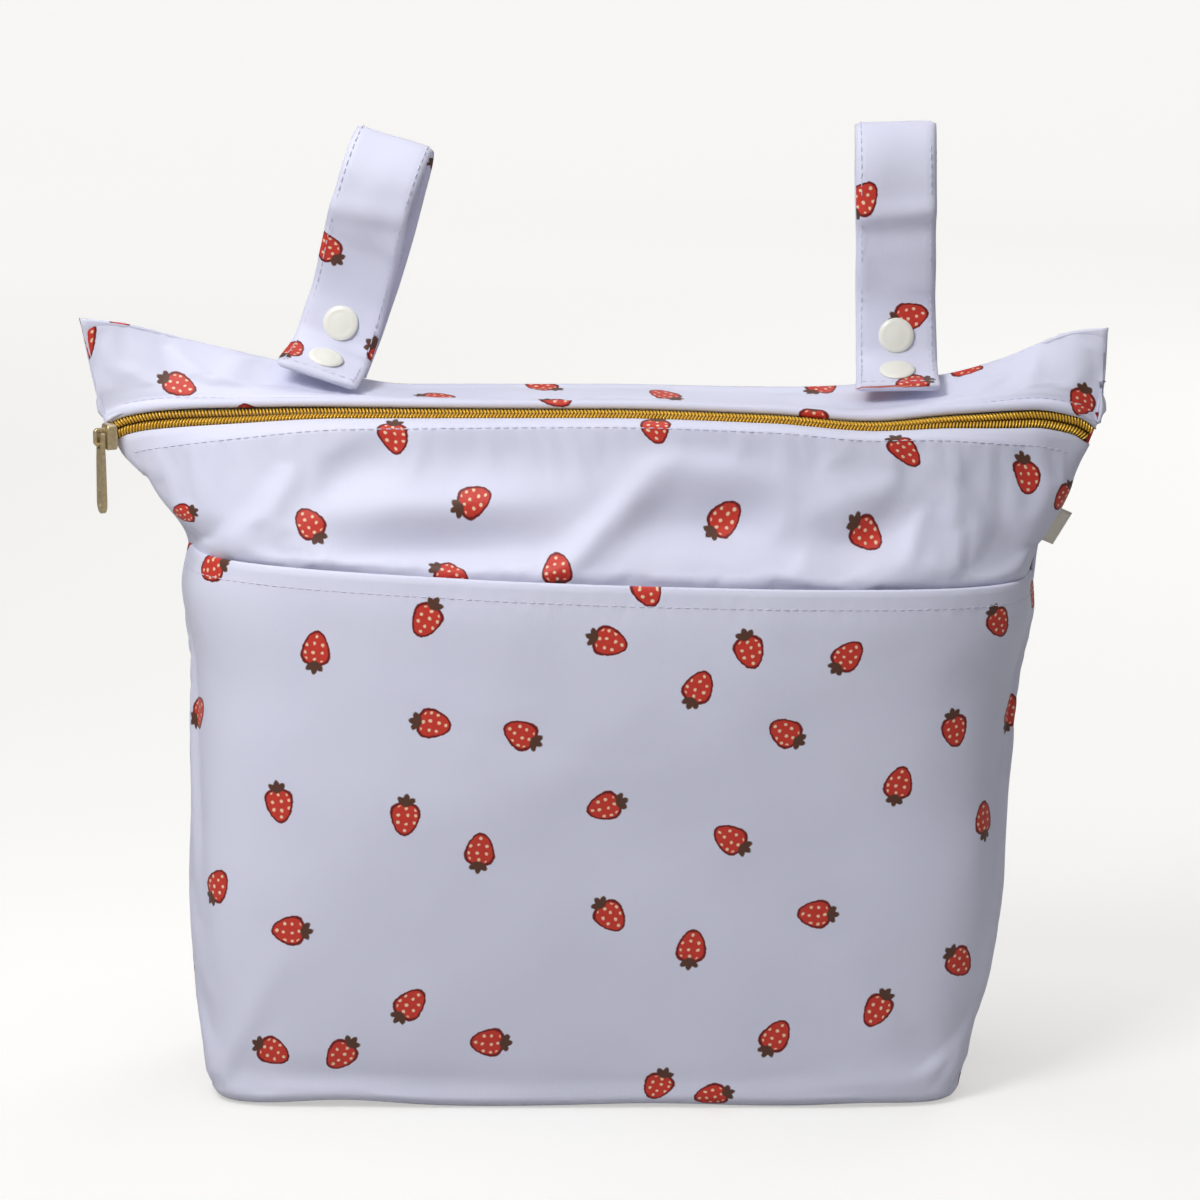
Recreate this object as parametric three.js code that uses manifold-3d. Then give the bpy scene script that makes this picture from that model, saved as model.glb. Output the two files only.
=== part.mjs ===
// Zip-top wet bag of coated cloth, standing on its boxed base. Millimetres, +X right, -Y front, +Z up.
import * as THREE from 'three';
import { mergeVertices } from 'three/addons/utils/BufferGeometryUtils.js';
import Module from 'manifold-3d';

const wasm = await Module();
wasm.setup();

// Driving dimensions of the cloth
const flatHalfWidth = 180;
const bodyHeight = 240;
const halfDepth = 52;
const wall = 1.8;
const seamGap = 0.3;
const baseRounding = 5;
const cornerFold = 30;
const pocketHeight = 187;
const pocketSlope = 5;
const pocketRoom = 7;
const pocketClear = 4;
const hemWall = 2.6;
const ridgeOver = 5.5;
const ridgeHeight = bodyHeight + ridgeOver;
const ridgeSetback = 20;
const earRise = 26;
const zipSetback = 18;
const zipBand = 6;
const stripBulge = 1.5;
const earFullness = 1.2;
const earBack = 0.36;

// Driving dimensions of the zipper
const coilWidth = 6;
const coilHeight = 2.4;
const coilProud = 0.6;
const coilSideGap = 0.5;
const coilShoulder = 0.7;
const tapeWidth = 9;
const tapeWall = 0.8;
const zipEndPlace = 0.945;
const tapeEndPlace = 0.88;
const sliderWidth = 7;
const sliderLength = 9;
const sliderDepth = 3.6;
const sliderCorner = 1.6;
const sliderSide = 0.6;
const sliderTurn = 25;
const sliderForward = 5.2;
const bridgeBar = 1.2;
const bridgeWidth = 1.8;
const bridgeRise = 2.9;
const bridgeHalf = 3.2;
const bridgeCorner = 1;
const bridgeFoot = 0.5;
const pullLength = 28;
const pullWidth = 7.5;
const pullWall = 1.4;
const pullBar = 1.5;
const pullWindow = 4.2;
const pullSlotLength = 7;
const pullSlotWidth = 3;
const pullNeckInset = 0.9;
const pullNeckLength = 2;
const pullShoulder = 2.5;
const pullTaper = 0.5;
const pullCorner = 0.4;
const pivotUp = 0.9;
const pivotGap = 0.05;
const windowGap = 0.5;

// Driving dimensions of the straps, snaps and label
const strapWidth = 28;
const strapWall = 2.4;
const strapRise = 92;
const strapSeat = 2.4;
const strapEdge = 0.7;
const strapEdgeHalf = 0.5;
const strapFlare = 0.06;
const snapDiameter = 12.4;
const snapCap = 1.7;
const snapPost = 3;
const snapSocket = 6.6;
const snapSocketHeight = 1.5;
const snapRim = 0.9;
const snapRimLow = 0.4;
const labelHeight = 13;
const labelLength = 8;
const labelWall = 1.2;
const labelPlace = 0.833 * bodyHeight;

const columns = 30;
const lineSteps = 160;
const zipSteps = 40;
const strapSteps = 38;
const seamHalf = seamGap / 2;

// Side seams: distance from the middle as shares of flatHalfWidth, height as a share of bodyHeight
const seamTable = [
  { height: 0, left: 0.752, right: 0.719 },
  { height: 0.08, left: 0.766, right: 0.738 },
  { height: 0.2, left: 0.781, right: 0.781 },
  { height: 0.33, left: 0.789, right: 0.808 },
  { height: 0.46, left: 0.794, right: 0.815 },
  { height: 0.56, left: 0.786, right: 0.817 },
  { height: 0.63, left: 0.784, right: 0.838 },
  { height: 0.71, left: 0.803, right: 0.864 },
  { height: 0.78, left: 0.811, right: 0.858 },
  { height: 0.805, left: 0.792, right: 0.872 },
  { height: 0.833, left: 0.811, right: 0.894 },
  { height: 0.87, left: 0.844, right: 0.922 },
  { height: 0.917, left: 0.892, right: 0.947 },
  { height: 0.962, left: 0.947, right: 0.975 },
  { height: 1, left: 0.96, right: 0.985 },
  { height: 1.04, left: 0.974, right: 0.993 },
  { height: 1.09, left: 0.986, right: 0.998 },
  { height: 1.13, left: 0.997, right: 0.997 },
];

// Depth of the front and back as shares of halfDepth, and how boxy the outline is
const depthTable = [
  { height: 0, front: 1, back: 1, boxy: 8.5 },
  { height: 0.08, front: 1.03, back: 1.03, boxy: 7 },
  { height: 0.25, front: 1.07, back: 1.1, boxy: 4.6 },
  { height: 0.46, front: 1.09, back: 1.16, boxy: 3.2 },
  { height: 0.63, front: 1.07, back: 1.16, boxy: 2.9 },
  { height: 0.78, front: 1.02, back: 1.12, boxy: 2.8 },
  { height: 0.795, front: 0.9, back: 1.11, boxy: 2.8 },
  { height: 0.86, front: 0.81, back: 1.05, boxy: 2.6 },
  { height: 0.93, front: 0.65, back: 0.92, boxy: 2.4 },
  { height: 0.97, front: 0.54, back: 0.8, boxy: 2.4 },
  { height: 1, front: 0.42, back: 0.7, boxy: 2.6 },
];

// Top seam: rise over ridgeHeight as a share of earRise, setback as a share of ridgeSetback
const ridgeTable = [
  { place: -1, rise: 1, setback: 0 },
  { place: -0.93, rise: 0.94, setback: 0.16 },
  { place: -0.8, rise: 0.67, setback: 0.5 },
  { place: -0.64, rise: 0.36, setback: 0.8 },
  { place: -0.5, rise: 0.12, setback: 0.96 },
  { place: -0.38, rise: 0, setback: 1 },
  { place: 0, rise: 0, setback: 1 },
  { place: 0.38, rise: -0.04, setback: 1 },
  { place: 0.57, rise: 0.02, setback: 0.95 },
  { place: 0.7, rise: 0.17, setback: 0.8 },
  { place: 0.8, rise: 0.4, setback: 0.58 },
  { place: 0.88, rise: 0.67, setback: 0.33 },
  { place: 0.94, rise: 0.83, setback: 0.13 },
  { place: 1, rise: 0.87, setback: 0 },
];

// Zipper line: height as a share of bodyHeight, setback as a share of zipSetback, tilt from level in degrees
const zipTable = [
  { place: -1, height: 0.962, setback: 0, tilt: 90 },
  { place: -0.95, height: 0.978, setback: 0.16, tilt: 84 },
  { place: -0.88, height: 0.988, setback: 0.36, tilt: 70 },
  { place: -0.75, height: 0.996, setback: 0.64, tilt: 46 },
  { place: -0.5, height: 1.004, setback: 0.9, tilt: 24 },
  { place: 0, height: 1.004, setback: 1, tilt: 16 },
  { place: 0.35, height: 0.996, setback: 1, tilt: 16 },
  { place: 0.55, height: 0.985, setback: 0.97, tilt: 18 },
  { place: 0.72, height: 0.99, setback: 0.76, tilt: 34 },
  { place: 0.86, height: 0.99, setback: 0.44, tilt: 62 },
  { place: 0.95, height: 0.978, setback: 0.17, tilt: 84 },
  { place: 1, height: 0.958, setback: 0, tilt: 90 },
];

// Dents in the upper front: place and spread across as shares of flatHalfWidth, up as shares of bodyHeight
const dentTable = [
  { across: -0.33, up: 0.85, wide: 0.2, tall: 0.05, deep: 3.5 },
  { across: 0.2, up: 0.88, wide: 0.17, tall: 0.05, deep: 4 },
  { across: -0.06, up: 0.9, wide: 0.08, tall: 0.05, deep: -1.5 },
  { across: 0.55, up: 0.86, wide: 0.14, tall: 0.05, deep: 2.5 },
];

// Side view of a strap from its sewn end to its free end, as shares of strapRise
const strapTable = [
  { back: 0.05, up: 0.075 },
  { back: 0.08, up: 0.146 },
  { back: 0.108, up: 0.217 },
  { back: 0.13, up: 0.32 },
  { back: 0.14, up: 0.45 },
  { back: 0.135, up: 0.6 },
  { back: 0.1, up: 0.8 },
  { back: 0.045, up: 0.945 },
  { back: -0.01, up: 0.985 },
  { back: -0.065, up: 0.94 },
  { back: -0.105, up: 0.84 },
  { back: -0.11, up: 0.72 },
  { back: -0.07, up: 0.54 },
  { back: -0.015, up: 0.37 },
  { back: 0.004, up: 0.27 },
  { back: 0.002, up: 0.2 },
  { back: -0.004, up: 0.14 },
  { back: -0.012, up: 0.085 },
  { back: -0.032, up: 0.047 },
  { back: -0.063, up: 0.028 },
  { back: -0.11, up: 0.009 },
  { back: -0.16, up: -0.009 },
  { back: -0.22, up: -0.03 },
];

// Straps: place on the top seam, lean and turn in degrees, height and sway as shares of the plain strap, lift
// over the seam as a share of strapRise, and the snaps' places as shares of the strap's length
const straps = [
  {
    name: 'left', place: -0.53, lean: 17, turn: -8, tall: 0.9, sway: 1.16,
    lift: 0.0565, upper: 0.844, lower: 0.94,
  },
  {
    name: 'right', place: 0.6, lean: -1, turn: -2, tall: 0.965, sway: 1,
    lift: 0.0391, upper: 0.862, lower: 0.948,
  },
];
const backSnap = 0.08;

const clothMaterial = new THREE.MeshStandardMaterial({ color: 0xdfdff0, roughness: 0.6, metalness: 0 });
const tapeMaterial = new THREE.MeshStandardMaterial({ color: 0xcfcfe2, roughness: 0.8, metalness: 0 });
const goldMaterial = new THREE.MeshStandardMaterial({ color: 0xc99a2c, roughness: 0.35, metalness: 0.8 });
const brassMaterial = new THREE.MeshStandardMaterial({ color: 0xb5a578, roughness: 0.35, metalness: 0.9 });
const snapMaterial = new THREE.MeshStandardMaterial({ color: 0xf4f5ec, roughness: 0.3, metalness: 0 });
const labelMaterial = new THREE.MeshStandardMaterial({ color: 0xe2dccf, roughness: 0.8, metalness: 0 });

// Value of one column of a table, on a smooth curve through its rows
function tableValue(table, key, column, at) {
  const last = table.length - 1;
  const clamped = Math.min(Math.max(at, table[0][key]), table[last][key]);
  let row = 0;
  while (row < last - 1 && clamped > table[row + 1][key]) row += 1;
  const slopeBetween = (k) => (table[k + 1][column] - table[k][column]) / (table[k + 1][key] - table[k][key]);
  const slopeAt = (k) => {
    if (k === 0) return slopeBetween(0);
    if (k === last) return slopeBetween(last - 1);
    const before = slopeBetween(k - 1);
    const after = slopeBetween(k);
    return before * after <= 0 ? 0 : (2 * before * after) / (before + after);
  };
  const span = table[row + 1][key] - table[row][key];
  const t = (clamped - table[row][key]) / span;
  const stay = (1 + 2 * t) * (1 - t) ** 2 * table[row][column] + t * t * (3 - 2 * t) * table[row + 1][column];
  const bend = t * (1 - t) ** 2 * slopeAt(row) - t * t * (1 - t) * slopeAt(row + 1);
  return stay + bend * span;
}

// X of the side seam at a height: side -1 is left, +1 is right
function seamX(side, height) {
  const column = side < 0 ? 'left' : 'right';
  return side * flatHalfWidth * tableValue(seamTable, 'height', column, height / bodyHeight);
}

function depthAt(face, height) {
  return halfDepth * tableValue(depthTable, 'height', face < 0 ? 'front' : 'back', height / bodyHeight);
}

// Points at equal shares of a fine line's length, and what the line carries at each of them
function evenly(points, count, carried = points) {
  const lengths = [0];
  for (let k = 1; k < points.length; k += 1) {
    lengths.push(lengths[k - 1] + points[k].distanceTo(points[k - 1]));
  }
  const row = [];
  let piece = 0;
  for (let k = 0; k <= count; k += 1) {
    const want = (lengths[lengths.length - 1] * k) / count;
    while (piece < points.length - 2 && lengths[piece + 1] < want) piece += 1;
    const share = (want - lengths[piece]) / (lengths[piece + 1] - lengths[piece]);
    row.push(carried[piece].clone().lerp(carried[piece + 1], share));
  }
  return row;
}

// One half of the bag's outline from the left seam to the right seam, face -1 the front and +1 the back.
// A slope lifts the row's left end and lowers its right end.
function outlineRow(face, middle, side, inset = 0, slope = 0) {
  const left = -seamX(-1, side + slope) - inset;
  const right = seamX(1, side - slope) - inset;
  const depth = depthAt(face, middle) - inset;
  const boxy = tableValue(depthTable, 'height', 'boxy', middle / bodyHeight);
  const fine = [];
  for (let k = 0; k <= lineSteps; k += 1) {
    const angle = (Math.PI * k) / lineSteps;
    const across = -Math.sign(Math.cos(angle)) * Math.abs(Math.cos(angle)) ** (2 / boxy);
    const out = k === 0 || k === lineSteps ? 0 : Math.sin(angle) ** (2 / boxy);
    const x = across * (across < 0 ? left : right);
    const z = middle + (side - middle) * Math.abs(across) ** 2.6 - slope * across;
    fine.push(new THREE.Vector3(x, face * (seamHalf + depth * out), z));
  }
  return evenly(fine, columns);
}

function ridgePoint(place) {
  const rise = earRise * tableValue(ridgeTable, 'place', 'rise', place);
  const back = ridgeSetback * tableValue(ridgeTable, 'place', 'setback', place);
  const z = ridgeHeight + rise;
  return new THREE.Vector3(Math.abs(place) * seamX(place < 0 ? -1 : 1, z), back, z);
}

// Frame of the zipper at a place: its middle, the way across it to the back, and the way out of the bag
function zipFrame(place) {
  const at = (p) => {
    const z = bodyHeight * tableValue(zipTable, 'place', 'height', p);
    const y = -seamHalf - zipSetback * tableValue(zipTable, 'place', 'setback', p);
    return new THREE.Vector3(Math.abs(p) * seamX(p < 0 ? -1 : 1, z), y, z);
  };
  const step = 0.01;
  const middle = at(place);
  const along = at(Math.min(place + step, 1)).sub(at(Math.max(place - step, -1))).normalize();
  const tilt = THREE.MathUtils.degToRad(tableValue(zipTable, 'place', 'tilt', place));
  const across = new THREE.Vector3(0, Math.cos(tilt), Math.sin(tilt));
  across.addScaledVector(along, -across.dot(along)).normalize();
  return { middle, across, along, out: along.clone().cross(across).normalize() };
}

// Row of a panel beside the zipper, distance millimetres to the back of its middle
function besideZip(distance) {
  const fine = [];
  const outs = [];
  for (let k = 0; k <= lineSteps; k += 1) {
    const place = (2 * k) / lineSteps - 1;
    const frame = zipFrame(place);
    const point = frame.middle.clone().addScaledVector(frame.across, distance);
    if (k === 0 || k === lineSteps) {
      point.y = -seamHalf;
      point.x = seamX(place, point.z);
    }
    fine.push(point);
    outs.push(frame.out);
  }
  return { points: evenly(fine, columns), normals: evenly(fine, columns, outs), lean: 0 };
}

// Flat half of the boxed base, from the bottom seam to the foot of the wall, then the rounded foot
function baseRows(face) {
  const foot = outlineRow(face, 0, 0, baseRounding);
  const seam = foot.map((point, k) => {
    const share = (2 * k) / columns - 1;
    const x = share * (share < 0 ? -foot[0].x - cornerFold : foot[columns].x - cornerFold);
    return new THREE.Vector3(x, face * seamHalf, 0);
  });
  const rows = [0, 0.4, 0.8, 1].map((share) => {
    const points = seam.map((point, k) => point.clone().lerp(foot[k], share).setZ(0));
    return { points, lean: Math.PI / 2 };
  });
  [30, 60, 90].forEach((degrees) => {
    const angle = THREE.MathUtils.degToRad(degrees);
    const points = outlineRow(face, 0, 0, baseRounding * (1 - Math.sin(angle)));
    points.forEach((point) => point.setZ(baseRounding * (1 - Math.cos(angle))));
    rows.push({ points, lean: Math.PI / 2 - angle });
  });
  return rows;
}

// Outward vectors of every point of some rows, long enough to keep a wall's thickness round a bend.
// A row's lean turns the seam's edge down at the base and up at the ears. A row may give its own normals.
function outwards(rows, face) {
  const high = rows.length;
  const wide = columns + 1;
  const at = (i, j) => rows[Math.min(Math.max(i, 0), high - 1)].points[Math.min(Math.max(j, 0), wide - 1)];
  const way = (from, to) => to.clone().sub(from).normalize();
  return rows.map((row, i) => row.points.map((point, j) => {
    if (j === 0 || j === wide - 1) {
      return new THREE.Vector3((j === 0 ? -1 : 1) * Math.cos(row.lean), 0, -Math.sin(row.lean));
    }
    if (row.normals) return row.normals[j].clone();
    const along = way(at(i, j - 1), point).add(way(point, at(i, j + 1))).multiplyScalar(0.5);
    const ends = i > 0 && i < high - 1;
    const up = ends ? way(at(i - 1, j), point).add(way(point, at(i + 1, j))).multiplyScalar(0.5)
      : way(at(i - 1, j), at(i + 1, j));
    const mitre = 1 / Math.max(along.length() * up.length(), 0.5);
    return along.cross(up).multiplyScalar(-face).normalize().multiplyScalar(mitre);
  }));
}

// Closed cloth wall: outer points row by row, the same points moved inwards, and the rim between them
function clothWall(rows, face) {
  const high = rows.length;
  const wide = columns + 1;
  const outer = rows.flatMap((row) => row.points);
  const inner = outwards(rows, face).flatMap((row, i) => (
    row.map((out, j) => rows[i].points[j].clone().addScaledVector(out, -(rows[i].wall || wall)))
  ));
  const index = [];
  const quad = (a, b, c, d) => (face < 0 ? index.push(a, b, c, a, c, d) : index.push(a, c, b, a, d, c));
  const half = high * wide;
  for (let i = 0; i < high - 1; i += 1) {
    for (let j = 0; j < wide - 1; j += 1) {
      const a = i * wide + j;
      quad(a, a + 1, a + wide + 1, a + wide);
      quad(half + a, half + a + wide, half + a + wide + 1, half + a + 1);
    }
  }
  for (let j = 0; j < wide - 1; j += 1) {
    const top = (high - 1) * wide + j;
    quad(half + j, half + j + 1, j + 1, j);
    quad(top, top + 1, half + top + 1, half + top);
  }
  for (let i = 0; i < high - 1; i += 1) {
    const a = i * wide;
    const b = a + wide - 1;
    quad(half + a, a, a + wide, half + a + wide);
    quad(b, half + b, half + b + wide, b + wide);
  }
  return indexed([...outer, ...inner], index);
}

function indexed(points, index) {
  const geometry = new THREE.BufferGeometry();
  geometry.setAttribute('position', new THREE.Float32BufferAttribute(points.flatMap((p) => p.toArray()), 3));
  geometry.setIndex(index);
  return geometry;
}

// Section points (across, out) swept along frames and closed by flat ends
function sweep(frames, section) {
  const points = [];
  frames.forEach((frame, i) => {
    section(i / (frames.length - 1)).forEach(([across, out]) => {
      points.push(frame.middle.clone().addScaledVector(frame.across, across).addScaledVector(frame.out, out));
    });
  });
  const sides = points.length / frames.length;
  const index = [];
  for (let i = 0; i < frames.length - 1; i += 1) {
    for (let j = 0; j < sides; j += 1) {
      const a = i * sides + j;
      const b = i * sides + ((j + 1) % sides);
      index.push(a, b, b + sides, a, b + sides, a + sides);
    }
  }
  const last = (frames.length - 1) * sides;
  for (let j = 1; j < sides - 1; j += 1) {
    index.push(0, j + 1, j);
    index.push(last, last + j, last + j + 1);
  }
  return indexed(points, index);
}

function solidOf(geometry) {
  const plain = geometry.clone();
  plain.deleteAttribute('normal');
  plain.deleteAttribute('uv');
  const merged = mergeVertices(plain, 1e-4);
  return new wasm.Manifold(new wasm.Mesh({
    numProp: 3,
    vertProperties: new Float32Array(merged.attributes.position.array),
    triVerts: new Uint32Array(merged.index.array),
  }));
}

function geometryOf(solid) {
  const mesh = solid.getMesh();
  const geometry = new THREE.BufferGeometry();
  geometry.setAttribute('position', new THREE.BufferAttribute(new Float32Array(mesh.vertProperties), 3));
  geometry.setIndex(new THREE.BufferAttribute(new Uint32Array(mesh.triVerts), 1));
  return geometry;
}

function named(name, geometry, material) {
  const mesh = new THREE.Mesh(geometry, material);
  mesh.name = name;
  return mesh;
}

// Rows of the wall, each with its height in the middle and at the sides, and its slope
function wallRows(face, heights) {
  return heights.map(([middle, side, slope = 0]) => (
    { points: outlineRow(face, middle, side, 0, slope), lean: 0 }
  ));
}

function dent(points) {
  points.forEach((point) => {
    dentTable.forEach((row) => {
      const across = (point.x / flatHalfWidth - row.across) / row.wide;
      const up = (point.z / bodyHeight - row.up) / row.tall;
      const depth = row.deep * Math.exp(-across * across - up * up);
      point.add(new THREE.Vector3(0, 0.75 * depth, -0.65 * depth));
    });
  });
}

// The front pocket lies outside the front panel from the bottom seam to its hem
function pocketRows() {
  const rows = baseRows(-1);
  const shares = [0.1, 0.24, 0.42, 0.6, 0.78, 0.93, 0.965, 1];
  rows.push(...wallRows(-1, shares.map((share) => (
    [share * pocketHeight, share * pocketHeight, share ** 3 * pocketSlope]
  ))));
  rows.slice(-2).forEach((row) => { row.wall = hemWall; });
  return rows;
}

// Rows of the front panel where the pocket covers it, one wall further in and with room in the middle
function coveredRows() {
  const rows = pocketRows();
  const out = outwards(rows, -1);
  rows.forEach((row, i) => {
    row.points.forEach((point, j) => {
      const middle = 1 - ((2 * j) / columns - 1) ** 6;
      const room = pocketRoom * middle * (Math.max(point.z, 0) / pocketHeight);
      point.addScaledVector(out[i][j], -((row.wall || wall) + seamGap + room));
    });
    row.wall = wall;
  });
  return rows;
}

function frontPanel() {
  const rows = coveredRows();
  const slopeTop = zipFrame(0).middle.z - zipBand;
  const edge = -coilWidth / 2 - coilSideGap;
  const sideTop = zipFrame(-1).middle.z + edge - zipBand;
  const clear = pocketHeight + pocketClear;
  const upper = [0, 0.3, 0.62, 0.85].map((share) => [
    clear + (slopeTop - clear) * share,
    clear + (sideTop - clear) * share * 0.94,
    pocketSlope * (1 - share),
  ]);
  rows.push(...wallRows(-1, upper));
  rows.slice(-3).forEach((row) => dent(row.points));
  rows.push(besideZip(edge - zipBand), besideZip(edge));
  return clothWall(rows, -1);
}

// The top seam as a row of points and the outward normals that both panels share there
function ridgeRow(shift) {
  const fine = [];
  for (let k = 0; k <= lineSteps; k += 1) fine.push(ridgePoint((2 * k) / lineSteps - 1));
  const points = evenly(fine, columns);
  const normals = points.map((point) => (
    new THREE.Vector3(0, earBack * Math.max(0, 1 - (point.x / flatHalfWidth) ** 2), 1).normalize()
  ));
  points.forEach((point) => { point.y += shift; });
  return { points, normals, lean: -0.6 };
}

function backPanel() {
  const rows = baseRows(1);
  const shares = [0.08, 0.24, 0.42, 0.6, 0.74, 0.805, 0.86, 0.915].map((share) => [share, share]);
  shares.push([0.962, 0.99], [0.99, 1.05]);
  rows.push(...wallRows(1, shares.map(([middle, side]) => [middle * bodyHeight, side * bodyHeight])));
  rows.push(ridgeRow(seamHalf));
  return clothWall(rows, 1);
}

// The strip between zipper and top seam, with the folded roll over the zipper
function topStrip() {
  const edge = coilWidth / 2 + coilSideGap;
  const front = besideZip(edge);
  const fold = besideZip(edge + zipBand);
  const ridge = ridgeRow(-seamHalf);
  const rows = [front, fold];
  [0.35, 0.7].forEach((share) => {
    const points = fold.points.map((point, k) => {
      const middle = point.clone().lerp(ridge.points[k], share);
      const side = Math.abs((2 * k) / columns - 1);
      return middle.add(new THREE.Vector3(0, -earFullness * side ** 2, stripBulge * (1 - side ** 4)));
    });
    rows.push({ points, lean: 0 });
  });
  rows.forEach((row) => {
    row.points[0].y = -seamHalf;
    row.points[columns].y = -seamHalf;
  });
  rows.push(ridge);
  return clothWall(rows, -1);
}

function zipFrames(steps, end) {
  const frames = [];
  for (let k = 0; k <= steps; k += 1) frames.push(zipFrame(((2 * k) / steps - 1) * end));
  return frames;
}

function coilHalf(side) {
  const top = coilProud;
  const bottom = coilProud - coilHeight;
  const near = side * seamHalf;
  const far = (side * coilWidth) / 2;
  const shoulder = side * (coilWidth / 2 - coilShoulder);
  const section = [
    [near, bottom], [far, bottom + coilShoulder], [far, top - coilShoulder], [shoulder, top], [near, top],
  ];
  return sweep(zipFrames(zipSteps, zipEndPlace), () => (side < 0 ? section.slice().reverse() : section));
}

function tapeHalf(side) {
  const top = coilProud - coilHeight - 2.6 * seamGap;
  const near = side * seamHalf;
  const far = side * tapeWidth;
  const section = [[near, top - tapeWall], [far, top - tapeWall], [far, top], [near, top]];
  return sweep(zipFrames(zipSteps, tapeEndPlace), () => (side < 0 ? section.slice().reverse() : section));
}

function roundedShape(width, height, radius) {
  const shape = new THREE.Shape();
  const x = width / 2;
  const y = height / 2;
  shape.moveTo(-x + radius, -y);
  shape.lineTo(x - radius, -y);
  shape.absarc(x - radius, -y + radius, radius, -Math.PI / 2, 0, false);
  shape.lineTo(x, y - radius);
  shape.absarc(x - radius, y - radius, radius, 0, Math.PI / 2, false);
  shape.lineTo(-x + radius, y);
  shape.absarc(-x + radius, y - radius, radius, Math.PI / 2, Math.PI, false);
  shape.lineTo(-x, -y + radius);
  shape.absarc(-x + radius, -y + radius, radius, Math.PI, Math.PI * 1.5, false);
  return shape;
}

// Slider in its own frame: X across, Y up, Z out of its face, with the face at Z 0
const pivotOut = bridgeRise / 2 + pivotGap;
function zipperSlider() {
  const body = new THREE.ExtrudeGeometry(roundedShape(sliderWidth, sliderLength, sliderCorner), {
    depth: sliderDepth, bevelEnabled: false, curveSegments: 5,
  });
  body.translate(0, 0, -sliderDepth);
  const outer = bridgeRise + bridgeBar;
  const bridge = new THREE.Shape();
  bridge.moveTo(-bridgeHalf, -bridgeFoot);
  bridge.lineTo(-bridgeHalf, outer - bridgeCorner);
  bridge.lineTo(-bridgeHalf + bridgeCorner, outer);
  bridge.lineTo(bridgeHalf - bridgeCorner, outer);
  bridge.lineTo(bridgeHalf, outer - bridgeCorner);
  bridge.lineTo(bridgeHalf, -bridgeFoot);
  bridge.lineTo(bridgeHalf - bridgeBar, -bridgeFoot);
  bridge.lineTo(bridgeHalf - bridgeBar, bridgeRise);
  bridge.lineTo(-bridgeHalf + bridgeBar, bridgeRise);
  bridge.lineTo(-bridgeHalf + bridgeBar, -bridgeFoot);
  bridge.closePath();
  const arch = new THREE.ExtrudeGeometry(bridge, { depth: bridgeWidth, bevelEnabled: false });
  arch.translate(0, 0, -bridgeWidth / 2);
  arch.applyMatrix4(new THREE.Matrix4().makeBasis(
    new THREE.Vector3(0, 1, 0), new THREE.Vector3(0, 0, 1), new THREE.Vector3(1, 0, 0),
  ));
  return geometryOf(solidOf(body).add(solidOf(arch)));
}

// Pull in its own frame: the pivot bar on X through the origin, the tab hanging along -Y
function zipperPull() {
  const half = pullWidth / 2;
  const neck = half - pullNeckInset;
  const neckLow = -pullWindow - pullNeckLength;
  const top = pullBar / 2;
  const shape = new THREE.Shape();
  shape.moveTo(-neck, top - pullCorner);
  shape.lineTo(-neck, neckLow);
  shape.lineTo(-half + pullTaper, neckLow - pullShoulder);
  shape.lineTo(-half, -pullLength + half);
  shape.absarc(0, -pullLength + half, half, Math.PI, 2 * Math.PI, false);
  shape.lineTo(half - pullTaper, neckLow - pullShoulder);
  shape.lineTo(neck, neckLow);
  shape.lineTo(neck, top - pullCorner);
  shape.lineTo(neck - pullCorner, top);
  shape.lineTo(-neck + pullCorner, top);
  shape.closePath();
  const window = new THREE.Path();
  const windowHalf = bridgeWidth / 2 + windowGap;
  window.moveTo(-windowHalf, -top);
  window.lineTo(windowHalf, -top);
  window.lineTo(windowHalf, -top - pullWindow);
  window.lineTo(-windowHalf, -top - pullWindow);
  window.closePath();
  const slot = new THREE.Path();
  const slotHalf = pullSlotWidth / 2;
  const slotLow = -pullLength + half;
  slot.absarc(0, slotLow, slotHalf, Math.PI, 2 * Math.PI, false);
  slot.absarc(0, slotLow + pullSlotLength - pullSlotWidth, slotHalf, 0, Math.PI, false);
  slot.closePath();
  shape.holes.push(window, slot);
  const geometry = new THREE.ExtrudeGeometry(shape, {
    depth: pullWall, bevelEnabled: false, curveSegments: 8,
  });
  geometry.translate(0, 0, -pullWall / 2);
  return geometryOf(solidOf(geometry));
}

// Frames along a strap, from the sewn end to the free end
function strapCurve(strap) {
  const points = strapTable.map((row) => (
    new THREE.Vector3(0, row.back * strapRise * strap.sway, row.up * strapRise * strap.tall)
  ));
  points.unshift(new THREE.Vector3(0, -strapWall / 4, strapSeat - strap.lift * strapRise));
  return new THREE.CatmullRomCurve3(points, false, 'centripetal');
}

function strapFrame(curve, share) {
  const along = curve.getTangentAt(share);
  const across = new THREE.Vector3(1, 0, 0);
  return { middle: curve.getPointAt(share), across, along, out: along.clone().cross(across).normalize() };
}

function strapGeometry(strap, holes) {
  const curve = strapCurve(strap);
  const frames = [];
  for (let k = 0; k <= strapSteps; k += 1) frames.push(strapFrame(curve, k / strapSteps));
  const section = (share) => {
    const flare = 1 + strapFlare * Math.max(0, (share - 0.8) / 0.2);
    const half = (strapWidth / 2) * flare;
    const face = half - strapEdge;
    const thick = strapWall / 2;
    return [[-half, -strapEdgeHalf], [-face, -thick], [face, -thick], [half, -strapEdgeHalf],
      [half, strapEdgeHalf], [face, thick], [-face, thick], [-half, strapEdgeHalf]];
  };
  let solid = solidOf(sweep(frames, section));
  holes.forEach((share) => {
    const hole = snapPost / 2 + seamGap;
    const drill = new THREE.CylinderGeometry(hole, hole, strapWall * 3, 12);
    drill.applyMatrix4(snapPlacement(strap, share));
    solid = solid.subtract(solidOf(drill));
  });
  return geometryOf(solid);
}

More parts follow.
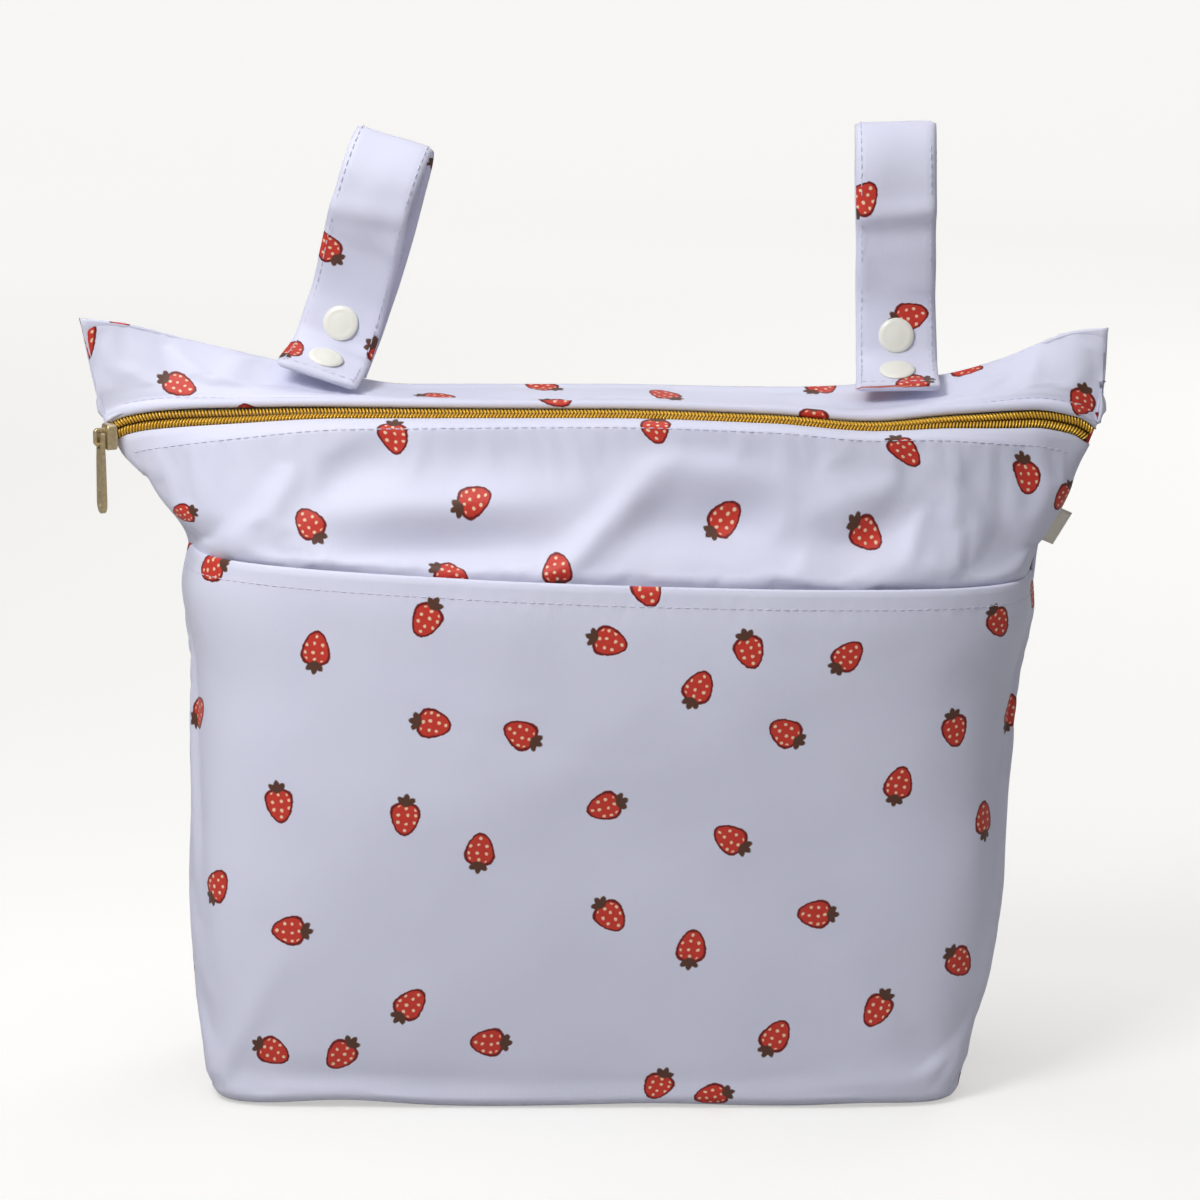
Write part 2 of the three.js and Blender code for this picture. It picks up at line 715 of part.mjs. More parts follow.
// Matrix that lays a snap half, made along +Y, on the strap at a share of its length
function snapPlacement(strap, share) {
  const frame = strapFrame(strapCurve(strap), share);
  const third = frame.across.clone().cross(frame.out);
  return new THREE.Matrix4().makeBasis(frame.across, frame.out, third).setPosition(frame.middle);
}

// Half a snap fastener: domed cap, post through the strap, and the socket or stud behind it
function snapHalf() {
  const seat = strapWall / 2 + 2 * seamGap;
  const cap = snapDiameter / 2;
  const profile = [
    [0, -seat - snapSocketHeight], [snapSocket / 2, -seat - snapSocketHeight], [snapSocket / 2, -seat],
    [snapPost / 2, -seat], [snapPost / 2, seat], [cap - snapRimLow, seat], [cap, seat + snapRimLow],
    [cap - snapRimLow, seat + snapRim], [cap * 0.65, seat + snapCap * 0.9], [0, seat + snapCap],
  ];
  return new THREE.LatheGeometry(profile.map(([x, y]) => new THREE.Vector2(x, y)), 16);
}

function strapGroup(strap) {
  const group = new THREE.Group();
  const root = ridgePoint(strap.place);
  group.position.set(root.x, root.y, root.z + strap.lift * strapRise);
  group.rotation.set(0, THREE.MathUtils.degToRad(strap.lean), THREE.MathUtils.degToRad(strap.turn), 'ZYX');
  const shares = [strap.upper, strap.lower, backSnap];
  group.add(named(`${strap.name}_strap`, strapGeometry(strap, shares), clothMaterial));
  ['upper_snap_front', 'lower_snap', 'upper_snap_back'].forEach((name, k) => {
    const geometry = snapHalf();
    geometry.applyMatrix4(snapPlacement(strap, shares[k]));
    group.add(named(`${strap.name}_${name}`, geometry, snapMaterial));
  });
  return group;
}

// Folded label tab in the right side seam, turned to the back
function sideLabel() {
  const low = new THREE.Vector3(seamX(1, labelPlace - labelHeight / 2), 0, labelPlace - labelHeight / 2);
  const high = new THREE.Vector3(seamX(1, labelPlace + labelHeight / 2), 0, labelPlace + labelHeight / 2);
  const up = high.clone().sub(low).normalize();
  const out = new THREE.Vector3(0.75, 0.66, 0);
  out.addScaledVector(up, -out.dot(up)).normalize();
  const side = up.clone().cross(out);
  const shape = roundedShape(labelLength, labelWall, labelWall / 2 - 0.05);
  const geometry = new THREE.ExtrudeGeometry(shape, {
    depth: labelHeight, bevelEnabled: false, curveSegments: 3,
  });
  geometry.translate(labelLength / 2 + labelWall / 2 + seamGap, 0, 0);
  geometry.applyMatrix4(new THREE.Matrix4().makeBasis(out, side, up).setPosition(low));
  return geometry;
}

const bag = new THREE.Group();
bag.add(named('front_pocket', clothWall(pocketRows(), -1), clothMaterial));
bag.add(named('front_panel', frontPanel(), clothMaterial));
bag.add(named('back_panel', backPanel(), clothMaterial));
bag.add(named('top_strip', topStrip(), clothMaterial));
bag.add(named('zipper_tape_front', tapeHalf(-1), tapeMaterial));
bag.add(named('zipper_tape_back', tapeHalf(1), tapeMaterial));
bag.add(named('zipper_coil_front', coilHalf(-1), goldMaterial));
bag.add(named('zipper_coil_back', coilHalf(1), goldMaterial));

const sliderGroup = new THREE.Group();
const zipStart = zipFrame(-1).middle;
sliderGroup.position.set(zipStart.x - sliderSide, zipStart.y - sliderForward, zipStart.z);
sliderGroup.rotation.set(Math.PI / 2, 0, THREE.MathUtils.degToRad(sliderTurn - 90), 'ZYX');
sliderGroup.add(named('zipper_slider', zipperSlider(), brassMaterial));
const pull = named('zipper_pull', zipperPull(), brassMaterial);
pull.position.set(0, pivotUp, pivotOut);
sliderGroup.add(pull);
bag.add(sliderGroup);

straps.forEach((strap) => bag.add(strapGroup(strap)));
bag.add(named('side_label', sideLabel(), labelMaterial));

// The origin is the middle of the bounding box on the ground
const bounds = new THREE.Box3().setFromObject(bag);
const centre = bounds.getCenter(new THREE.Vector3());
bag.position.set(-centre.x, -centre.y, -bounds.min.z);

export default bag;
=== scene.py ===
import math
import bmesh
import bpy
import numpy as np
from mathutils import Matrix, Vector, noise


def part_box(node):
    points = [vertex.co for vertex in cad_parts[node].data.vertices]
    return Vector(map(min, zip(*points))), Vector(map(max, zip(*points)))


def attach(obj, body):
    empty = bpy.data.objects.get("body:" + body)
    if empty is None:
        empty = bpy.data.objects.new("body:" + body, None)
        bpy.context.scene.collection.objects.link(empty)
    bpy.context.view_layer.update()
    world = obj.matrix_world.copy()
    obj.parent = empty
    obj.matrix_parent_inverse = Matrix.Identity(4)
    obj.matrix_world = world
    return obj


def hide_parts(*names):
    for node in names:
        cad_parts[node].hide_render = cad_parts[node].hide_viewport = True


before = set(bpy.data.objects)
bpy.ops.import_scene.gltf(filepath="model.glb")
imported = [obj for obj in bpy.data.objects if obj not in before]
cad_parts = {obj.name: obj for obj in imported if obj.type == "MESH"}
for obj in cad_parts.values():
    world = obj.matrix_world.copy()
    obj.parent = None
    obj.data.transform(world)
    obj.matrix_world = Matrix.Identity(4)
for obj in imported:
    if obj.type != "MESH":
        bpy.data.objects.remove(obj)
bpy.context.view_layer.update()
print("frame loaded")

# Shape of the bag in millimetres, with the same tables as the frame: +X right, -Y front, +Z up
bag = {
    "flatHalfWidth": 180.0, "bodyHeight": 240.0, "halfDepth": 52.0, "seamHalf": 0.15,
    "baseRounding": 5.0, "cornerFold": 30.0, "pocketHeight": 187.0, "pocketSlope": 5.0, "pocketRoom": 7.0,
    "ridgeHeight": 245.5, "ridgeSetback": 20.0, "earRise": 26.0, "zipSetback": 18.0, "zipBand": 6.0,
    "coilWidth": 6.0, "coilSideGap": 0.5, "coilProud": 0.6, "coilHeight": 2.4,
    "columns": 150, "rowSpacing": 2.4, "clothWall": 1.3,
}
halfWidth = bag["flatHalfWidth"]
bodyHeight = bag["bodyHeight"]
seamHalf = bag["seamHalf"]
columns = bag["columns"]

seamTable = {  # shares of bodyHeight and of flatHalfWidth
    "height": [0, .08, .2, .33, .46, .56, .63, .71, .78, .805, .833, .87, .917, .962, 1, 1.04, 1.09, 1.13],
    "left": [.752, .766, .781, .789, .794, .786, .784, .803, .811, .792, .811, .844, .892, .947, .96, .974,
             .986, .997],
    "right": [.719, .738, .781, .808, .815, .817, .838, .864, .858, .872, .894, .922, .947, .975, .985, .993,
              .998, .997],
}
depthTable = {
    "height": [0, .08, .25, .46, .63, .78, .795, .86, .93, .97, 1],
    "front": [1, 1.03, 1.07, 1.09, 1.07, 1.02, .9, .81, .65, .54, .42],
    "back": [1, 1.03, 1.1, 1.16, 1.16, 1.12, 1.11, 1.05, .92, .8, .7],
    "boxy": [8.5, 7, 4.6, 3.2, 2.9, 2.8, 2.8, 2.6, 2.4, 2.4, 2.6],
}
ridgeTable = {
    "place": [-1, -.93, -.8, -.64, -.5, -.38, 0, .38, .57, .7, .8, .88, .94, 1],
    "rise": [1, .94, .67, .36, .12, 0, 0, -.04, .02, .17, .4, .67, .83, .87],
    "setback": [0, .16, .5, .8, .96, 1, 1, 1, .95, .8, .58, .33, .13, 0],
}
zipTable = {
    "place": [-1, -.95, -.88, -.75, -.5, 0, .35, .55, .72, .86, .95, 1],
    "height": [.962, .978, .988, .996, 1.004, 1.004, .996, .985, .99, .99, .978, .958],
    "setback": [0, .16, .36, .64, .9, 1, 1, .97, .76, .44, .17, 0],
    "tilt": [90, 84, 70, 46, 24, 16, 16, 18, 34, 62, 84, 90],
}


# Value of a table's column on a smooth curve through its rows
def tableValue(table, key, column, at):
    xs = table[key]
    ys = table[column]
    last = len(xs) - 1
    at = min(max(at, xs[0]), xs[last])
    row = 0
    while row < last - 1 and at > xs[row + 1]:
        row += 1
    def between(k):
        return (ys[k + 1] - ys[k]) / (xs[k + 1] - xs[k])
    def slope(k):
        if k == 0:
            return between(0)
        if k == last:
            return between(last - 1)
        before = between(k - 1)
        after = between(k)
        return 0 if before * after <= 0 else 2 * before * after / (before + after)
    span = xs[row + 1] - xs[row]
    t = (at - xs[row]) / span
    stay = (1 + 2 * t) * (1 - t) ** 2 * ys[row] + t * t * (3 - 2 * t) * ys[row + 1]
    return stay + (t * (1 - t) ** 2 * slope(row) - t * t * (1 - t) * slope(row + 1)) * span


def seamX(side, height):
    edge = "left" if side < 0 else "right"
    return side * halfWidth * tableValue(seamTable, "height", edge, height / bodyHeight)


def depthAt(face, height):
    side = "front" if face < 0 else "back"
    return bag["halfDepth"] * tableValue(depthTable, "height", side, height / bodyHeight)


# Points at equal shares of a line's length, or what the line carries there
def evenly(points, count, carried=None):
    carried = points if carried is None else carried
    lengths = np.concatenate([[0], np.cumsum(np.linalg.norm(np.diff(points, axis=0), axis=1))])
    want = np.linspace(0, lengths[-1], count + 1)
    return np.stack([np.interp(want, lengths, carried[:, k]) for k in range(3)], 1)


# Half of the bag's outline at a height, from the left seam to the right one; a slope lifts its left end
def outlineRow(face, middle, side, inset=0.0, slope=0.0):
    left = -seamX(-1, side + slope) - inset
    right = seamX(1, side - slope) - inset
    depth = depthAt(face, middle) - inset
    boxy = tableValue(depthTable, "height", "boxy", middle / bodyHeight)
    angle = np.linspace(0, math.pi, 481)
    across = -np.sign(np.cos(angle)) * np.abs(np.cos(angle)) ** (2 / boxy)
    out = np.clip(np.sin(angle), 0, 1) ** (2 / boxy)
    out[0] = out[-1] = 0
    x = across * np.where(across < 0, left, right)
    z = middle + (side - middle) * np.abs(across) ** 2.6 - slope * across
    return evenly(np.stack([x, face * (seamHalf + depth * out), z], 1), columns)


def unit(vector):
    return vector / np.linalg.norm(vector)


def ridgePoint(place):
    z = bag["ridgeHeight"] + bag["earRise"] * tableValue(ridgeTable, "place", "rise", place)
    y = bag["ridgeSetback"] * tableValue(ridgeTable, "place", "setback", place)
    return np.array([abs(place) * seamX(-1 if place < 0 else 1, z), y, z])


def zipMiddle(place):
    z = bodyHeight * tableValue(zipTable, "place", "height", place)
    y = -seamHalf - bag["zipSetback"] * tableValue(zipTable, "place", "setback", place)
    return np.array([abs(place) * seamX(-1 if place < 0 else 1, z), y, z])


# Middle of the zipper at a place, the way across it to the back, along it and out of the bag
def zipFrame(place):
    middle = zipMiddle(place)
    along = unit(zipMiddle(min(place + .01, 1)) - zipMiddle(max(place - .01, -1)))
    tilt = math.radians(tableValue(zipTable, "place", "tilt", place))
    across = np.array([0, math.cos(tilt), math.sin(tilt)])
    across = unit(across - along * across.dot(along))
    return middle, across, along, unit(np.cross(along, across))


zipFine = [zipFrame(place) for place in np.linspace(-1, 1, 241)]


# Row beside the zipper, so far to the back of its middle and so far out of the bag
def besideZip(distance, out=0.0):
    fine = []
    for k, (middle, across, along, outward) in enumerate(zipFine):
        point = middle + across * distance + outward * out
        if k in (0, 240):
            point[1] = -seamHalf
            point[0] = seamX(-1 if k == 0 else 1, point[2])
        fine.append(point)
    return evenly(np.array(fine), columns)


# Where the frame's own origin lies in these millimetres
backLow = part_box("back_panel")[0]
shift = np.array([backLow[0] * 1000 - ridgePoint(-1)[0], backLow[1] * 1000 - seamHalf, 0.0])


def toMetres(points):
    return (np.asarray(points) + shift) * 0.001


# Rows of a surface between given rows, on smooth curves through each column
def refine(rows, spacing):
    rows = np.array(rows)
    steps = np.linalg.norm(np.diff(rows, axis=0), axis=2).mean(axis=1)
    at = np.concatenate([[0], np.cumsum(steps)])
    between = np.diff(rows, axis=0) / steps[:, None, None]
    before, after = between[:-1], between[1:]
    same = before * after > 0
    middle = np.where(same, 2 * before * after / np.where(same, before + after, 1), 0)
    slopes = np.concatenate([between[:1], middle, between[-1:]])
    fine = [rows[0]]
    for k, step in enumerate(steps):
        count = max(1, round(step / spacing))
        for t in np.linspace(0, 1, count + 1)[1:]:
            stay = (1 + 2 * t) * (1 - t) ** 2 * rows[k] + t * t * (3 - 2 * t) * rows[k + 1]
            bend = t * (1 - t) ** 2 * slopes[k] - t * t * (1 - t) * slopes[k + 1]
            fine.append(stay + bend * step)
    return np.array(fine)


# Outward unit vectors of a grid of points
def gridNormals(grid, face):
    along = np.gradient(grid, axis=1)
    up = np.gradient(grid, axis=0)
    normal = np.cross(along, up) * -face
    return normal / np.maximum(np.linalg.norm(normal, axis=2, keepdims=True), 1e-9)


# Flat pattern of a grid in metres: across from the middle column, up along the mean of the columns
def gridPattern(grid, offset):
    steps = np.linalg.norm(np.diff(grid, axis=1), axis=2)
    u = np.concatenate([np.zeros((len(grid), 1)), np.cumsum(steps, axis=1)], axis=1)
    u = u - u[:, [grid.shape[1] // 2]]
    rise = np.linalg.norm(np.diff(grid, axis=0), axis=2).mean(axis=1)
    v = np.concatenate([[0], np.cumsum(rise)])
    pattern = np.stack([u, np.repeat(v[:, None], grid.shape[1], axis=1)], 2) * 0.001
    return pattern + np.array(offset)


# Base of the boxed bottom from its seam to the foot of the wall, then the rounded foot
def baseRows(face):
    rounding = bag["baseRounding"]
    foot = outlineRow(face, 0, 0, rounding)
    share = np.linspace(-1, 1, columns + 1)
    reach = np.where(share < 0, -foot[0][0], foot[-1][0]) - bag["cornerFold"]
    seam = np.stack([share * reach, np.full(columns + 1, face * seamHalf), np.zeros(columns + 1)], 1)
    rows = []
    for part in np.linspace(0, 1, 13):
        row = seam * (1 - part) + foot * part
        row[:, 2] = 0
        rows.append(row)
    for degrees in (15, 30, 45, 60, 75, 90):
        angle = math.radians(degrees)
        row = outlineRow(face, 0, 0, rounding * (1 - math.sin(angle)))
        row[:, 2] = rounding * (1 - math.cos(angle))
        rows.append(row)
    return rows


# Soft folds: place across and up, direction in degrees, length, width and height
def foldHeight(x, z, folds):
    height = np.zeros_like(x)
    for foldX, foldZ, degrees, long, wide, high in folds:
        turn = math.radians(degrees)
        along = (x - foldX) * math.cos(turn) + (z - foldZ) * math.sin(turn)
        beside = -(x - foldX) * math.sin(turn) + (z - foldZ) * math.cos(turn)
        height += high * np.exp(-(along / long) ** 2 - (beside / wide) ** 2)
    return height


def noiseField(grid, size, seed):
    flat = grid.reshape(-1, 3) / size
    values = [noise.noise(Vector((p[0] + seed, p[1] * 0.7, p[2] - seed))) for p in flat]
    return np.array(values).reshape(grid.shape[:2])


def smoothStep(low, high, value):
    t = np.clip((value - low) / (high - low), 0, 1)
    return t * t * (3 - 2 * t)


# Panel with its folds and unevenness, less where it isn't free to move
def roomyGrid(grid, face, panel, free, extra=0):
    raised = foldHeight(grid[..., 0], grid[..., 2], panel["folds"])
    for high, size, seed in panel["uneven"]:
        raised = raised + high * noiseField(grid, size, seed)
    return grid + gridNormals(grid, face) * ((raised + extra) * free)[..., None]


# Lets a panel settle as cloth between the points that are sewn down, and caps how far a point may move
def settleCloth(name, grid, free, panel):
    high, wide = grid.shape[:2]
    sewn = np.where(free < 0.1, 1.0, 0.0)
    jitter = noiseField(grid, 30, panel["seed"])[..., None] * 0.25 * gridNormals(grid, -1)
    start = (grid + jitter * (1 - sewn)[..., None]).reshape(-1, 3) * 0.001
    faces = [(i * wide + j, i * wide + j + 1, (i + 1) * wide + j + 1, (i + 1) * wide + j)
             for i in range(high - 1) for j in range(wide - 1)]
    mesh = bpy.data.meshes.new(name + "Sim")
    mesh.from_pydata([tuple(p) for p in start], [], faces)
    simulated = bpy.data.objects.new(name + "Sim", mesh)
    bpy.context.scene.collection.objects.link(simulated)
    group = simulated.vertex_groups.new(name="sewn")
    for k, weight in enumerate(sewn.reshape(-1)):
        if weight > 0.001:
            group.add([k], float(weight), "REPLACE")
    cloth = simulated.modifiers.new("cloth", "CLOTH")
    settings = cloth.settings
    settings.quality = 6
    settings.mass = 0.25
    settings.tension_stiffness = 30
    settings.compression_stiffness = 30
    settings.shear_stiffness = 12
    settings.bending_stiffness = 2.5
    settings.air_damping = 4
    settings.vertex_group_mass = "sewn"
    settings.pin_stiffness = 5
    settings.shrink_min = -panel["growth"]
    settings.use_pressure = True
    settings.uniform_pressure_force = panel["pressure"]
    settings.effector_weights.gravity = 0.15
    cloth.point_cache.frame_start = 1
    cloth.point_cache.frame_end = panel["frames"]
    scene = bpy.context.scene
    for step in range(1, panel["frames"] + 1):
        scene.frame_set(step)
    evaluated = simulated.evaluated_get(bpy.context.evaluated_depsgraph_get())
    moved = np.empty(len(mesh.vertices) * 3)
    evaluated.data.vertices.foreach_get("co", moved)
    moved = moved.reshape(grid.shape) * 1000
    bpy.data.objects.remove(simulated)
    scene.frame_set(1)
    change = moved - grid
    size = np.linalg.norm(change, axis=2, keepdims=True)
    limit = (0.05 + panel["reach"] * free)[..., None]
    return grid + change * np.where(size > 0, np.tanh(size / limit) * limit / np.maximum(size, 1e-9), 1)


# Smooth mesh object from points in metres, with its flat pattern and its materials
def meshPiece(name, points, faces, materials, pattern=None):
    mesh = bpy.data.meshes.new(name)
    mesh.from_pydata([tuple(p) for p in points], [], faces)
    if pattern is not None:
        layer = mesh.uv_layers.new(name="pattern")
        loopVertex = np.empty(len(mesh.loops), dtype=np.int32)
        mesh.loops.foreach_get("vertex_index", loopVertex)
        layer.data.foreach_set("uv", pattern.reshape(-1, 2)[loopVertex].reshape(-1))
    mesh.polygons.foreach_set("use_smooth", np.ones(len(faces), dtype=bool))
    for material in materials:
        mesh.materials.append(material)
    mesh.update()
    piece = bpy.data.objects.new(name, mesh)
    bpy.context.scene.collection.objects.link(piece)
    return piece


# Closed cloth piece from a grid: the grid outside, the same grid moved in, rounded rims at its free edges
def clothPiece(name, grid, face, pattern, thickness):
    high, wide = grid.shape[:2]
    normals = gridNormals(grid, face)
    thickness = np.broadcast_to(np.asarray(thickness, dtype=float), (high, wide))
    inner = grid - normals * thickness[..., None]
    def rim(row, beyond):
        away = grid[row] - grid[beyond]
        away = away / np.maximum(np.linalg.norm(away, axis=1, keepdims=True), 1e-9)
        rows = []
        for share in (0.2, 0.5, 0.8):
            reach = 0.35 * math.sin(math.pi * share) * thickness[row][:, None]
            rows.append(grid[row] * (1 - share) + inner[row] * share + away * reach)
        return rows
    top = rim(-1, -2)
    low = rim(0, 1)
    ring = list(grid) + top + list(inner[::-1]) + low[::-1]
    patternRing = list(pattern) + [pattern[-1]] * 3 + list(pattern[::-1]) + [pattern[0]] * 3
    count = len(ring)
    points = toMetres(np.concatenate(ring))
    faces = []
    inside = []
    for i in range(count):
        a, b = i * wide, ((i + 1) % count) * wide
        for j in range(wide - 1):
            faces.append((a + j, a + j + 1, b + j + 1, b + j))
            inside.append(1 if high + 2 <= i < 2 * high + 2 else 0)
    for j, flip in ((0, True), (wide - 1, False)):
        loops = [[i, i + 1, 2 * high + 1 - i, 2 * high + 2 - i] for i in range(high - 1)]
        loops.append([high - 1, high, high + 1, high + 2, high + 3])
        loops.append([0, 2 * high + 2, 2 * high + 3, 2 * high + 4, 2 * high + 5])
        for loop in loops:
            loop = [k * wide + j for k in loop]
            faces.append(tuple(loop if flip else reversed(loop)))
            inside.append(0)
    if face > 0:
        faces = [tuple(reversed(f)) for f in faces]
    piece = meshPiece(name, points, faces, [printedCloth, liningCloth], np.concatenate(patternRing))
    piece.data.polygons.foreach_set("material_index", np.array(inside, dtype=np.int32))
    piece.data.validate()
    piece.data.update()
    return piece


# Materials
def nodeMaker(tree):
    def node(kind, inputs=None, **settings):
        made = tree.nodes.new(kind)
        for key, value in settings.items():
            setattr(made, key, value)
        for key, value in (inputs or {}).items():
            if isinstance(value, bpy.types.NodeSocket):
                tree.links.new(value, made.inputs[key])
            else:
                made.inputs[key].default_value = value
        return made
    return node


def newGroup(name, inputs, outputs):
    group = bpy.data.node_groups.new(name, "ShaderNodeTree")
    for label, kind, value in inputs:
        socket = group.interface.new_socket(name=label, in_out="INPUT", socket_type=kind)
        if value is not None:
            socket.default_value = value
    for label, kind in outputs:
        group.interface.new_socket(name=label, in_out="OUTPUT", socket_type=kind)
    node = nodeMaker(group)
    return group, node, node("NodeGroupInput"), node("NodeGroupOutput")


def mathNode(node, operation, a, b=None):
    inputs = {0: a} if b is None else {0: a, 1: b}
    return node("ShaderNodeMath", inputs, operation=operation).outputs[0]


def vectorNode(node, operation, a, b=None):
    inputs = {0: a} if b is None else {0: a, "Scale" if operation == "SCALE" else 1: b}
    made = node("ShaderNodeVectorMath", inputs, operation=operation)
    return made.outputs["Value" if operation == "LENGTH" else 0]


def mixNode(node, factor, a, b):
    return node("ShaderNodeMix", {"Factor": factor, 6: a, 7: b}, data_type="RGBA").outputs[2]


def rangeNode(node, value, low, high):
    return node("ShaderNodeMapRange", {"Value": value, "To Min": low, "To Max": high}).outputs[0]


def srgb(red, green, blue):
    def linear(c):
        c = c / 255
        return c / 12.92 if c <= 0.04045 else ((c + 0.055) / 1.055) ** 2.4
    return (linear(red), linear(green), linear(blue), 1)


berryPrint = {
    "spacing": 0.041, "motifLength": 0.0145, "jitter": 0.62,
    "red": srgb(214, 62, 48), "redDark": srgb(176, 34, 30), "outline": srgb(116, 22, 20),
    "leaf": srgb(92, 58, 44), "seed": srgb(246, 214, 180),
}


# Scattered berries on a flat pattern in metres: colour, and a mask of where they are
def berryGroup():
    group, node, source, result = newGroup(
        "scatteredBerries",
        [("Pattern", "NodeSocketVector", None), ("Cloth", "NodeSocketColor", (1, 1, 1, 1)),
         ("Spacing", "NodeSocketFloat", berryPrint["spacing"]),
         ("Motif Length", "NodeSocketFloat", berryPrint["motifLength"])],
        [("Color", "NodeSocketColor"), ("Mask", "NodeSocketFloat")])

    def turnedBy(vector, angle):
        turned = node("ShaderNodeVectorRotate", {"Vector": vector, "Angle": angle}, rotation_type="Z_AXIS")
        return turned.outputs[0]

    def below(value, limit, soft):
        return node("ShaderNodeMapRange", {"Value": value, "From Min": limit - soft, "From Max": limit + soft,
                                           "To Min": 1.0, "To Max": 0.0}).outputs[0]

    scale = mathNode(node, "DIVIDE", 1.0, source.outputs["Spacing"])
    scaled = vectorNode(node, "SCALE", turnedBy(source.outputs["Pattern"], 0.42), scale)
    cells = node("ShaderNodeTexVoronoi", {"Vector": scaled, "Scale": 1.0, "Randomness": berryPrint["jitter"]},
                 voronoi_dimensions="2D", feature="F1")
    size = mathNode(node, "DIVIDE", source.outputs["Spacing"], source.outputs["Motif Length"])
    local = vectorNode(node, "SCALE", vectorNode(node, "SUBTRACT", scaled, cells.outputs["Position"]), size)
    pick = node("ShaderNodeSeparateColor", {0: cells.outputs["Color"]})
    local = turnedBy(local, mathNode(node, "MULTIPLY", pick.outputs[0], 6.2832))
    wobble = node("ShaderNodeTexNoise", {"Vector": scaled, "Scale": 26.0, "Detail": 1.0})
    wobbled = vectorNode(node, "SUBTRACT", wobble.outputs["Color"], (0.5, 0.5, 0.5))
    local = vectorNode(node, "ADD", local, vectorNode(node, "SCALE", wobbled, 0.05))
    parts = node("ShaderNodeSeparateXYZ", {0: local})
    x, y = parts.outputs[0], parts.outputs[1]
    # berry body: a rounded drop that narrows to its tip, x and y run from -0.5 to 0.5
    across = mathNode(node, "DIVIDE", x, mathNode(node, "ADD", mathNode(node, "MULTIPLY", y, 0.28), 0.36))
    along = mathNode(node, "DIVIDE", mathNode(node, "ADD", y, 0.06), 0.42)
    body = mathNode(node, "ADD", mathNode(node, "POWER", mathNode(node, "ABSOLUTE", across), 2.2),
                    mathNode(node, "POWER", mathNode(node, "ABSOLUTE", along), 2.4))
    bodyMask = below(body, 1.0, 0.06)
    fillMask = below(body, 0.7, 0.06)
    # three leaves at the top, each a narrow ellipse
    leafAt = vectorNode(node, "SUBTRACT", local, (0.0, 0.3, 0.0))
    leaves = []
    for lean in (-0.95, 0.0, 0.95):
        leaf = vectorNode(node, "SUBTRACT", turnedBy(leafAt, lean), (0.0, 0.1, 0.0))
        leaf = vectorNode(node, "MULTIPLY", leaf, (12.0, 6.4, 0.0))
        leaves.append(below(vectorNode(node, "LENGTH", leaf), 1.0, 0.12))
    leafMask = mathNode(node, "MAXIMUM", mathNode(node, "MAXIMUM", leaves[0], leaves[1]), leaves[2])
    # seeds: a small regular scatter that only shows inside the berry
    seedCells = node("ShaderNodeTexVoronoi", {"Vector": vectorNode(node, "SCALE", local, 5.2), "Scale": 1.0,
                                              "Randomness": 0.35}, voronoi_dimensions="2D", feature="F1")
    seeds = below(seedCells.outputs["Distance"], 0.2, 0.05)
    seedMask = mathNode(node, "MULTIPLY", seeds, below(body, 0.6, 0.05))
    shade = node("ShaderNodeTexNoise", {"Vector": scaled, "Scale": 18.0, "Detail": 2.0}).outputs["Fac"]
    red = mixNode(node, shade, berryPrint["red"], berryPrint["redDark"])
    red = mixNode(node, mathNode(node, "MULTIPLY", shade, 0.5), berryPrint["red"], red)
    colour = mixNode(node, bodyMask, source.outputs["Cloth"], berryPrint["outline"])
    colour = mixNode(node, fillMask, colour, red)
    colour = mixNode(node, seedMask, colour, berryPrint["seed"])
    colour = mixNode(node, leafMask, colour, berryPrint["leaf"])
    group.links.new(colour, result.inputs["Color"])
    group.links.new(mathNode(node, "MAXIMUM", bodyMask, leafMask), result.inputs["Mask"])
    return group


# Fine weave on a flat pattern in metres: height of the threads and a slight change of shade
def weaveGroup():
    group, node, source, result = newGroup(
        "fineWeave", [("Pattern", "NodeSocketVector", None), ("Thread", "NodeSocketFloat", 0.0004)],
        [("Height", "NodeSocketFloat"), ("Shade", "NodeSocketFloat")])
    scale = mathNode(node, "DIVIDE", math.pi, source.outputs["Thread"])
    parts = node("ShaderNodeSeparateXYZ", {0: vectorNode(node, "SCALE", source.outputs["Pattern"], scale)})
    slanted = mathNode(node, "ADD", parts.outputs[1], mathNode(node, "MULTIPLY", parts.outputs[0], 0.5))
    warp = mathNode(node, "ABSOLUTE", mathNode(node, "SINE", parts.outputs[0]))
    weft = mathNode(node, "ABSOLUTE", mathNode(node, "SINE", slanted))
    grain = node("ShaderNodeTexNoise", {"Vector": source.outputs["Pattern"], "Scale": 900.0, "Detail": 3.0})
    fuzz = mathNode(node, "MULTIPLY", grain.outputs["Fac"], 0.6)
    height = mathNode(node, "ADD", mathNode(node, "MULTIPLY", warp, weft), fuzz)
    group.links.new(height, result.inputs["Height"])
    group.links.new(grain.outputs["Fac"], result.inputs["Shade"])
    return group


# Wear and handling: slow change of shade and gloss over a surface
def handlingGroup():
    group, node, source, result = newGroup(
        "handling", [("Place", "NodeSocketVector", None), ("Size", "NodeSocketFloat", 14.0)],
        [("Shade", "NodeSocketFloat"), ("Fine", "NodeSocketFloat")])
    slow = node("ShaderNodeTexNoise", {"Vector": source.outputs["Place"], "Scale": source.outputs["Size"],
                                       "Detail": 3.0})
    fine = mathNode(node, "MULTIPLY", source.outputs["Size"], 22.0)
    quick = node("ShaderNodeTexNoise", {"Vector": source.outputs["Place"], "Scale": fine, "Detail": 4.0})
    group.links.new(slow.outputs["Fac"], result.inputs["Shade"])
    group.links.new(quick.outputs["Fac"], result.inputs["Fine"])
    return group


berries = berryGroup()
weave = weaveGroup()
handling = handlingGroup()


